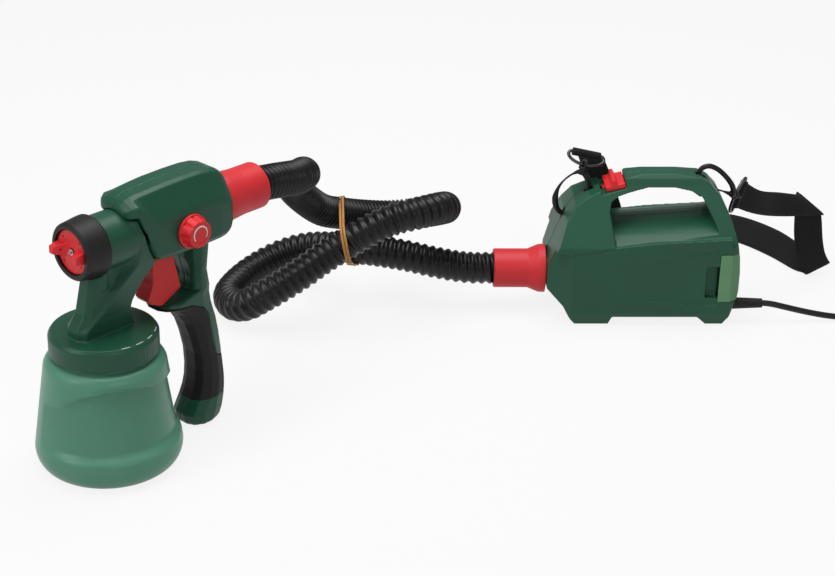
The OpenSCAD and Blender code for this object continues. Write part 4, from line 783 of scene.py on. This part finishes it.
@dataclass
class MainsCord:
    """The mains cord: lead on the floor, tied coil, tail and plug.

    Attributes:
        lead_mm: Route from inside the gland to the coil.
        middle_mm: Middle of the coil.
        inner_mm: Mean radius of the inner turn.
        step_mm: Step from turn to turn.
        turns: Turns wound inwards before the coil climbs.
        total: All turns of the coil.
        low_mm: Height of the coil's middle line.
        rise_mm: Climb from the lower layer to the upper one.
        tail_mm: Route from the coil to the plug.
        pins_mm: Length of the plug's pins.
    """

    radius_mm: float = 3.1
    lead_mm: tuple[Point, ...] = (
        (608, 272, 20.5), (622, 272, 20.5), (634, 272, 20.5), (645, 272, 19.2), (658, 272, 16),
        (674, 272, 12), (690, 272, 8.5), (704, 272, 6), (718, 272, 4.6), (734, 272.6, 4.3), (752, 273, 4.3),
    )
    middle_mm: tuple[float, float] = (770.0, 226.0)
    inner_mm: float = 26.5
    step_mm: float = 6.9
    turns: float = 3.0
    total: float = 6.25
    low_mm: float = 4.3
    rise_mm: float = 6.8
    pins_mm: float = 19.4
    tail_mm: tuple[Point, ...] = (
        (817, 214, 10.5), (817, 203, 9.5), (817, 192, 10), (817, 182, 12), (817, 176, 12.5),
    )

    def coil_point(self, t: float) -> Point:
        """Point of the coil after t turns."""
        climb = min(max(t - self.turns, 0.0), 0.5)
        if t < self.turns:
            r = self.inner_mm + self.step_mm * (self.turns - t)
        elif climb < 0.5:
            r = self.inner_mm - 2 * math.sin(2 * math.pi * climb)
        else:
            r = self.inner_mm + self.step_mm * (t - self.turns - 0.5)
        a = math.radians(90 - 360 * t)
        lift = self.rise_mm * (1 - math.cos(2 * math.pi * climb)) / 2
        return (self.middle_mm[0] + r * math.cos(a), self.middle_mm[1] + r * math.sin(a), self.low_mm + lift)

    def build(self) -> None:
        """Makes the cord in one length from the gland to the plug."""
        fine = 48
        coil = [self.coil_point(i / fine) for i in range(int(self.total * fine) + 1)]
        first, last = np.array(coil[0]), np.array(coil[-1])
        lead = smooth_line(list(self.lead_mm) + [first - [4, 0, 0], first], 5)
        tail = smooth_line([last, last - [0, 4, 0], *self.tail_mm], 6)
        line = np.concatenate([lead[:-1], np.array(coil)[:-1], tail]) * MM
        cord = tube("mains_lead", line, lambda ring, turn: self.radius_mm * MM, 16)
        dress(cord, Finishes.pvc, ROOT, ["mains_cord", "cord_coil", "cord_tail"])
        plug = Moulding("mains_plug", "plug_two_pin", Finishes.black_pa, "plug_pvc", voxel_mm=0.6, rounding=2).build()
        plug.data.materials.append(Finishes.steel.material())
        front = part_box("mains_plug")[0].y + self.pins_mm * MM
        for face in plug.data.polygons:
            face.material_index = int(face.center.y < front)


# ---------- gun ----------


def gun_point(u: float, s: float, z: float) -> Point:
    """Point in millimetres given in the gun's own frame: forward, left and up."""
    a = math.radians(225)
    return (u * math.cos(a) - s * math.sin(a), u * math.sin(a) + s * math.cos(a), z)


@dataclass
class Gun:
    """The spray gun above the jar.

    Attributes:
        dash_turns: First and last turn of each pale dash, in degrees.
        dash_radii_mm: Inner and outer radius of the dashes.
        dash_z_mm: Lower and upper face of their ink.
        seam_mm: Seam of the shell's rear panel, forward and up.
        seam_depth_mm: Sideways reach of the seam's groove.
        knob_mm: The knob's axis, forward and up.
        print_mm: Lower and upper face of the crescent's ink, sideways.
        crescent_mm: Radius of the crescent's middle line.
    """

    dash_turns: tuple[tuple[float, float], ...] = ((-64, -54), (-46, -36), (-28, -18), (-9, 2))
    dash_radii_mm: tuple[float, float] = (44.95, 45.55)
    dash_z_mm: tuple[float, float] = (129.76, 130.06)
    seam_mm: tuple[tuple[float, float], ...] = (
        (-89.6, 236), (-92.2, 226.5), (-95.2, 217.7), (-98.3, 209.2), (-101.4, 199.6), (-104.7, 191.9), (-108.5, 184),
    )
    seam_depth_mm: tuple[float, float] = (27.2, 29.5)
    knob_mm: tuple[float, float] = (-79, 205.5)
    print_mm: tuple[float, float] = (39.8, 40.46)
    crescent_mm: float = 7.4

    def seam_cutter(self) -> Solid:
        """Fine groove on the left side where the rear panel of the shell begins."""
        width, drop = 0.9, 0.2
        outline = list(self.seam_mm) + [(u - width, z - drop) for u, z in reversed(self.seam_mm)]
        verts, faces = prism(outline, *self.seam_depth_mm)
        return [gun_point(*v) for v in verts], faces

    def dashes(self) -> None:
        """Prints the pale dashes along the lid's top edge."""
        verts: list[Point] = []
        faces: Faces = []
        steps = 6
        (inner, outer), (base, top) = self.dash_radii_mm, self.dash_z_mm
        for low, high in self.dash_turns:
            start = len(verts)
            for i in range(steps + 1):
                a = math.radians(low + (high - low) * i / steps)
                for r, z in ((inner, base), (inner, top), (outer, top), (outer, base)):
                    verts.append((r * math.cos(a), r * math.sin(a), z))
            faces += ring_faces(steps + 1, 4, start) + end_caps(steps + 1, 4, start)
        dashes = mesh_object("lid_dashes", in_metres(verts), faces)
        dress(dashes, Finishes.white_print, ROOT)

    def flow_scale(self) -> None:
        """Prints the crescent on the volume knob, narrow to wide."""
        steps, verts = 24, []
        first, sweep = -35, 250
        thin, swell = 0.18, 0.54
        for i in range(steps + 1):
            a = math.radians(first + sweep * i / steps)
            half = thin + swell * math.sin(math.pi * min(1.0, 0.15 + 0.85 * i / steps))
            for r in (self.crescent_mm - half, self.crescent_mm + half):
                for s in self.print_mm:
                    verts.append(gun_point(self.knob_mm[0] + r * math.cos(a), s, self.knob_mm[1] + r * math.sin(a)))
        faces = []
        for i in range(steps):
            a, b = 4 * i, 4 * i + 4
            for k, m in ((0, 1), (1, 3), (3, 2), (2, 0)):
                faces.append([a + k, a + m, b + m, b + k])
        faces += [[0, 2, 3, 1], [4 * steps + k for k in (0, 1, 3, 2)]]
        scale = mesh_object("knob_flow_scale", in_metres(verts), faces)
        dress(scale, Finishes.white_print, "knob")

    def build(self) -> None:
        """Builds every visible piece of the gun."""
        green, red, black = "dark_green_plastic", "red_plastic", "black_plastic"
        for row in (
            ("spray_head", "head_and_lid", Finishes.green_gun, green, ROOT, 0.75, 3),
            ("union_nut", "nut_black", Finishes.black_pa, black, "nut", 0.6, 3),
            ("air_cap", "air_cap_red", Finishes.red_acetal, red, "cap", 0.4, 3),
            ("trigger", "trigger_red", Finishes.red_trigger_painted_shade, red, "trigger", 0.5, 3),
            ("gun_shell_left", "gun_side_left", Finishes.green_gun, green, ROOT, 0.75, 4, 0.3, [self.seam_cutter()]),
            ("gun_shell_right", "gun_side_right", Finishes.green_gun, green, ROOT, 0.75, 4, 0.3),
            ("handle_grip", "grip_soft", Finishes.tpe, "black_rubber", ROOT, 0.6, 4),
            ("thumb_pad", "thumb_pad_soft", Finishes.tpe, "black_rubber", ROOT, 0.5, 3),
            ("volume_knob", "knob_red", Finishes.red_acetal, red, "knob", 0.4, 2),
            ("gun_hose_collar", "gun_collar_red", Finishes.red_pp, red, "gun_collar", 0.6, 2),
        ):
            Moulding(*row).build()
        self.dashes()
        self.flow_scale()


def ease(x: float) -> float:
    """Smooth step from 0 to 1."""
    t = min(1.0, max(0.0, x))
    return t * t * (3 - 2 * t)


@dataclass
class Jar:
    """The blown paint jar, with the hollow that sweeps round its front and right side.

    Attributes:
        foot_mm: Radius of the foot.
        belly_mm: Largest radius, low on the side.
        belly_z_mm: Height of the widest place.
        top_mm: Radius at the cone's top.
        top_z_mm: Height of the cone's top.
        neck_mm: Radius of the neck.
        neck_top_mm: Height of its rim.
        wall_mm: Wall of the jar.
        deep_mm: Depth of the hollow.
        sides: Points round the jar.
    """

    foot_mm: float = 50.0
    belly_mm: float = 65.0
    belly_z_mm: float = 20.0
    top_mm: float = 54.4
    top_z_mm: float = 93.0
    neck_mm: float = 43.5
    neck_top_mm: float = 124.0
    wall_mm: float = 2.0
    deep_mm: float = 7.2
    sides: int = 180

    def cone(self, z: float) -> float:
        """Radius of the plain cone at a height."""
        return self.belly_mm + (self.top_mm - self.belly_mm) * (z - self.belly_z_mm) / (self.top_z_mm - self.belly_z_mm)

    def hollow(self, turn: float, z: float) -> float:
        """Depth of the hollow at a turn from the front, growing to the right, and a height."""
        if not 24 < z < self.top_z_mm + 5:
            return 0.0
        top = float(np.interp(turn, [-62, -36, -16, 6, 25, 45, 61, 90, 125], [70, 77, 87, 92, 93.5, 91.5, 88, 84, 72]))
        soft = float(np.interp(turn, [-62, -36, -16, 6, 25, 90, 125], [6, 10, 8.4, 5, 4.2, 5, 8]))
        deep = self.deep_mm * max(0.0, 1 - ((turn - 32) / 94) ** 2) ** 0.8
        return deep * ease((z - 26.5) / 8.5) * ease((top + soft / 2 - z) / soft)

    def outer(self) -> list[tuple[float, float]]:
        """Outer profile, foot to neck, as radius and height."""
        wide = self.belly_mm - self.foot_mm
        foot = [
            (self.foot_mm + wide * math.sin(a), self.belly_z_mm * (1 - math.cos(a)))
            for a in np.linspace(0, math.pi / 2, 14)
        ]
        cone = [(self.cone(z), z) for z in np.linspace(21.5, self.top_z_mm, 62)]
        shoulder = [(53.9, 97), (53.5, 99), (52.8, 100.5), (52, 102), (51, 103.3), (49.8, 104.4)]
        shoulder += [(48.5, 105.2), (46.5, 106)]
        neck = [(44.6, 106.4), (self.neck_mm, 107.4), (self.neck_mm, 115), (self.neck_mm, self.neck_top_mm)]
        return foot + cone + shoulder + neck

    def inner(self) -> list[tuple[float, float]]:
        """Inner profile, neck to bottom."""
        w = self.wall_mm
        neck = [(self.neck_mm - w, self.neck_top_mm), (self.neck_mm - w, 105), (47.4, 103), (50.4, 99.5)]
        cone = [(self.cone(z) - w - 0.3, z - 1) for z in np.linspace(self.top_z_mm, 22, 50)]
        return neck + cone + [(60.5, 12.5), (56.5, 8), (50, 5.6), (44, 5), (20, 5), (0.4, 5)]

    def build(self) -> None:
        """Turns the profiles and presses the hollow into the wall."""
        bottom = [(0.4, 2.5), (43.6, 2.5), (44.6, 2.1), (46.4, 0.3), (47.2, 0.02)]
        profile = bottom + self.outer() + self.inner()
        verts: list[Point] = []
        for r, z in profile:
            for i in range(self.sides):
                a = 360 * i / self.sides
                near = r - self.hollow((a + 270) % 360 - 180, z)
                verts.append((near * math.cos(math.radians(a)), near * math.sin(math.radians(a)), z))
        faces = ring_faces(len(profile), self.sides) + end_caps(len(profile), self.sides)
        jar = mesh_object("paint_jar", in_metres(verts), faces)
        dress(jar, Finishes.jar_pe, "jar", ["jar"])


# ---------- turbine unit ----------


@dataclass
class TurbineUnit:
    """Housing, switch, filter cover and collar of the turbine unit."""

    def build(self) -> None:
        """Builds every visible piece of the unit."""
        green, red = "dark_green_plastic", "red_plastic"
        for row in (
            ("unit_shell_left", "unit_side_left", Finishes.green_abs, green, ROOT, 0.8, 2, 0.3),
            ("unit_shell_right", "unit_side_right", Finishes.green_abs, green, ROOT, 0.8, 2, 0.3),
            ("power_switch", "switch_red", Finishes.red_acetal, red, "switch", 0.5, 3),
            ("filter_cover", "filter_cover_green", Finishes.cover_abs, "vent_green_plastic", "cover", 0.6, 2),
            ("unit_hose_collar", "unit_collar_red", Finishes.red_pp, red, "unit_collar", 0.6, 2),
        ):
            Moulding(*row).build()


# ---------- strap ----------


@dataclass
class Strap:
    """Shoulder strap webbing with its rings, snap hooks and slider.

    Attributes:
        edges_mm: The webbing's two edges from the rear ring to the front ring.
        thick_mm: Thickness of the webbing.
        width_mm: Width of the webbing.
        parts: Steps between two given places.
        across: Steps across the webbing.
        hook_y_mm: Middle plane of the hooks.
    """

    edges_mm: tuple[tuple[Point, Point], ...] = (
        ((618, 332, 129.5), (609, 332, 101.5)), ((638, 345, 114), (634, 345, 88)),
        ((664, 366, 103), (665, 366, 76)), ((686, 380, 95), (713, 380, 71)),
        ((685, 383.5, 95), (714, 383.5, 71)), ((686, 384, 70), (716, 384, 62)),
        ((688, 384, 45), (719, 384, 42)), ((693, 383, 22), (723, 383, 26)),
        ((704, 381, 1.5), (729, 383, 15)), ((702, 385, 1.5), (727, 387, 16)),
        ((693, 394, 1.2), (704, 401, 25)), ((674, 428, 1.2), (682, 442, 27)),
        ((645, 464, 1.2), (650, 482, 25)), ((610, 482, 1.2), (610, 501, 23)),
        ((574, 478, 1.2), (568, 500, 20)), ((540, 452, 1.2), (526, 476, 12)),
        ((522, 418, 3), (496, 430, 14)), ((512, 396, 22), (484, 396, 26)),
        ((508, 382, 50), (479, 380, 55)), ((500, 374, 80), (472, 370, 87)),
        ((490, 366, 108), (462, 360, 116)), ((480, 352, 134), (451, 346, 141)),
        ((472, 336, 152), (444, 331, 160)), ((466, 322, 160.5), (438, 318, 168)),
    )
    thick_mm: float = 1.8
    width_mm: float = 30.0
    parts: int = 6
    across: int = 8
    hook_y_mm: float = 310.0

    def webbing(self) -> None:
        """Makes the woven ribbon, with both rolls round the rings' bars."""
        a = smooth_line([e[0] for e in self.edges_mm], self.parts)
        b = smooth_line([e[1] for e in self.edges_mm], self.parts)
        a[:, 2] = np.maximum(a[:, 2], 1.0)
        middle = (a + b) / 2
        run = running(middle)
        ahead = np.gradient(middle, axis=0)
        normal = np.cross(ahead, b - a)
        normal /= np.linalg.norm(normal, axis=1)[:, None]
        half = self.thick_mm / 2
        count = self.across
        profile = [(i / count, -1.0) for i in range(count + 1)] + [(1 - i / count, 1.0) for i in range(count + 1)]
        verts, weave = [], []
        for j in range(len(a)):
            for t, side in profile:
                edge = 0.55 if t in (0.0, 1.0) else 1.0
                verts.append((a[j] + (b[j] - a[j]) * t + normal[j] * side * half * edge) * MM)
                weave.append((run[j] * MM, t * self.width_mm * MM))
        sides = len(profile)
        strap = mesh_object("strap_webbing", verts, ring_faces(len(a), sides) + end_caps(len(a), sides))
        self.weave(strap, weave)
        dress(strap, Finishes.webbing, ROOT, ["shoulder_strap"])
        rings, round_roll, bore_mm = 14, 20, 1.9

        def roll_radius(ring: int, turn: float) -> float:
            return (4.1 - 0.25 * abs(math.sin(2 * math.pi * turn))) * MM

        for name, edge in (("strap_roll_rear", self.edges_mm[0]), ("strap_roll_front", self.edges_mm[-1])):
            top, low = (np.array(e, float) for e in edge)
            roll = tube(name, np.linspace(low, top, rings) * MM, roll_radius, round_roll, bore_mm * MM)
            places = range(len(roll.data.vertices))
            self.weave(roll, [(i % round_roll * 1.25 * MM, i // round_roll * 2.2 * MM) for i in places])
            dress(roll, Finishes.webbing, ROOT)

    @staticmethod
    def weave(piece: Object, places: Sequence[tuple[float, float]]) -> None:
        """Lays the weave on a piece of webbing, by each point's place across and along it in metres."""
        layer = piece.data.uv_layers.new(name="weave")
        for loop in piece.data.loops:
            layer.data[loop.index].uv = places[loop.vertex_index]

    def ring(self, name: str, node: str, bar: tuple[Point, Point], towards: Point) -> None:
        """Makes one D-shaped wire ring.

        Args:
            name: Name of the piece.
            node: CAD node that it stands for.
            bar: Ends of the webbing on its straight bar.
            towards: Point that its bow is drawn towards.
        """
        a, b, q = (np.array(p, float) for p in (*bar, towards))
        m = (a + b) / 2
        x = (a - b) / np.linalg.norm(a - b)
        y = (q - m) - ((q - m) @ x) * x
        length = np.linalg.norm(y)
        y /= length
        play, bow, foot, wire = 2.2, 2.4, 3, 1.7
        h = np.linalg.norm(a - b) / 2 + play
        shape = [(-h, 0), (-h * 0.5, 0), (0, 0), (h * 0.5, 0), (h, 0)]
        for turn in np.radians(range(0, 181, 12)):
            shape.append(((h + bow) * math.cos(turn), foot + (length - foot) * math.sin(turn)))
        points = np.array([m + x * s + y * t for s, t in shape]) * MM
        line, radii = closed_curve(points, [wire * MM] * len(points), 3)
        dress(wire_loop(name, line, radii, np.cross(x, y)), Finishes.ring_steel, ROOT, [node])

    def hook(
        self,
        name: str,
        node: str,
        line: Sequence[tuple[float, float]],
        radii: Sequence[float],
        to: Point,
        bar: tuple[Point, Point],
    ) -> None:
        """Makes one snap hook: moulded nose, spring gate, swivel and eyelet.

        Args:
            name: Name of the piece.
            node: CAD node that it stands for.
            line: Middle line in x and z.
            radii: Radius along it.
            to: Middle of the eyelet.
            bar: Ends of the webbing on the ring.
        """
        points = np.array([(x, self.hook_y_mm, z) for x, z in line]) * MM
        curve, follow = closed_curve(points, [r * MM for r in radii], 5)
        loop = wire_loop(name, curve, follow, (0, 1, 0), 16)
        start, end = points[0] / MM, np.array(to, float)
        way = end - start
        length = np.linalg.norm(way)
        way /= length
        stem_line = np.array([start + way * t for t in np.linspace(-3, length - 3.4, 15)]) * MM

        def stem_radius(ring: int, turn: float) -> float:
            at = -3 + (length - 0.4) * ring / 14
            knurl = 0.12 * math.cos(2 * math.pi * turn * 12)
            return (4.6 + knurl if at > length - 6.2 else 3.5) * MM

        stem = tube(name + "_swivel", stem_line, stem_radius, 48)
        wire = np.array(bar[0], float) - np.array(bar[1], float)
        side = np.cross(wire, way)
        side /= np.linalg.norm(side)
        count, eye_mm, wire_mm = 32, 4.4, 1.5
        turns = np.linspace(0, 2 * math.pi, count, endpoint=False)
        eye = [end + eye_mm * (math.cos(t) * way + math.sin(t) * side) for t in turns]
        eyelet = wire_loop(name + "_eyelet", np.array(eye) * MM, [wire_mm * MM] * count, np.cross(way, side), 12)
        for piece, stands_for in ((loop, [node]), (stem, []), (eyelet, [])):
            dress(piece, Finishes.black_pom, ROOT, stands_for)

    def build(self) -> None:
        """Builds the strap and its fittings."""
        rear, front = self.edges_mm[0], self.edges_mm[-1]
        self.ring("ring_front", "front_strap_ring", front, (449.5, 311.4, 155.6))
        self.ring("ring_rear", "rear_strap_ring", rear, (605.8, 316.2, 121.0))
        self.webbing()
        self.hook(
            "hook_front", "front_strap_hook",
            [(447, 149), (453, 141), (455, 131), (453, 120), (446, 109), (436, 103.5),
             (427, 105), (422.5, 112), (421.5, 121), (424, 131), (429.5, 139.5), (438, 146.5)],
            [3, 2.8, 2.6, 2.6, 2.6, 2.6, 2.6, 3, 3.2, 1.6, 0.9, 1.0],
            (449.5, 311, 157), front,
        )
        self.hook(
            "hook_rear", "rear_strap_hook",
            [(602, 125), (601, 133.5), (594, 143.5), (584.5, 152), (575, 155.5), (567.5, 152),
             (566.5, 144.5), (572, 136.5), (581, 131.5), (592, 128)],
            [3, 2.8, 2.6, 2.6, 2.6, 2.6, 2.4, 1.4, 0.9, 0.9],
            (607, 317, 121), rear,
        )
        Moulding("strap_slider", "slider_black", Finishes.black_pom, "black_plastic", voxel_mm=0.45, rounding=3).build()


# ---------- carried-over pieces ----------


@dataclass
class CarriedOver:
    """CAD nodes whose shape is right and that get a better finish."""

    nodes: tuple[tuple[Finish, tuple[str, ...]], ...] = (
        (Finishes.gasket, ("jar_gasket", "vent_valve", "needle_seal", "cord_tie")),
        (Finishes.black_pom, ("suction_tube",)),
        (Finishes.steel, ("vent_tube", "fluid_nozzle", "needle", "trigger_pin")),
        (Finishes.steel, ("impeller", "motor_shaft", "front_bearing", "rear_bearing")),
        (Finishes.zinc, ("needle_spring", "gun_screws", "unit_screws")),
        (Finishes.brass, ("knob_spindle", "brush_holders")),
        (Finishes.black_pa, ("gun_air_inlet", "outlet_spigot", "switch_body", "turbine_housing")),
        (Finishes.black_pa, ("front_bracket", "rear_bracket", "cord_clamp")),
        (Finishes.foam, ("air_filter",)),
        (Finishes.copper, ("motor_armature",)),
        (Finishes.lamination, ("motor_stator",)),
        (Finishes.tpe, ("cord_gland",)),
    )

    def build(self) -> None:
        """Gives each node its finish."""
        for finish, names in self.nodes:
            for name in names:
                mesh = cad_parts[name].data
                mesh.materials.clear()
                mesh.materials.append(finish.material())
            LOG.info("%s: %s", finish.name, ", ".join(names))


def main() -> None:
    """Builds the studio and every sub-assembly."""
    logging.basicConfig(level=logging.INFO, format="%(message)s")
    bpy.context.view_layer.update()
    Studio().build()
    Hose().build()
    MainsCord().build()
    HoseBand().build()
    Strap().build()
    Jar().build()
    Gun().build()
    TurbineUnit().build()
    CarriedOver().build()


if __name__ == "__main__":
    main()
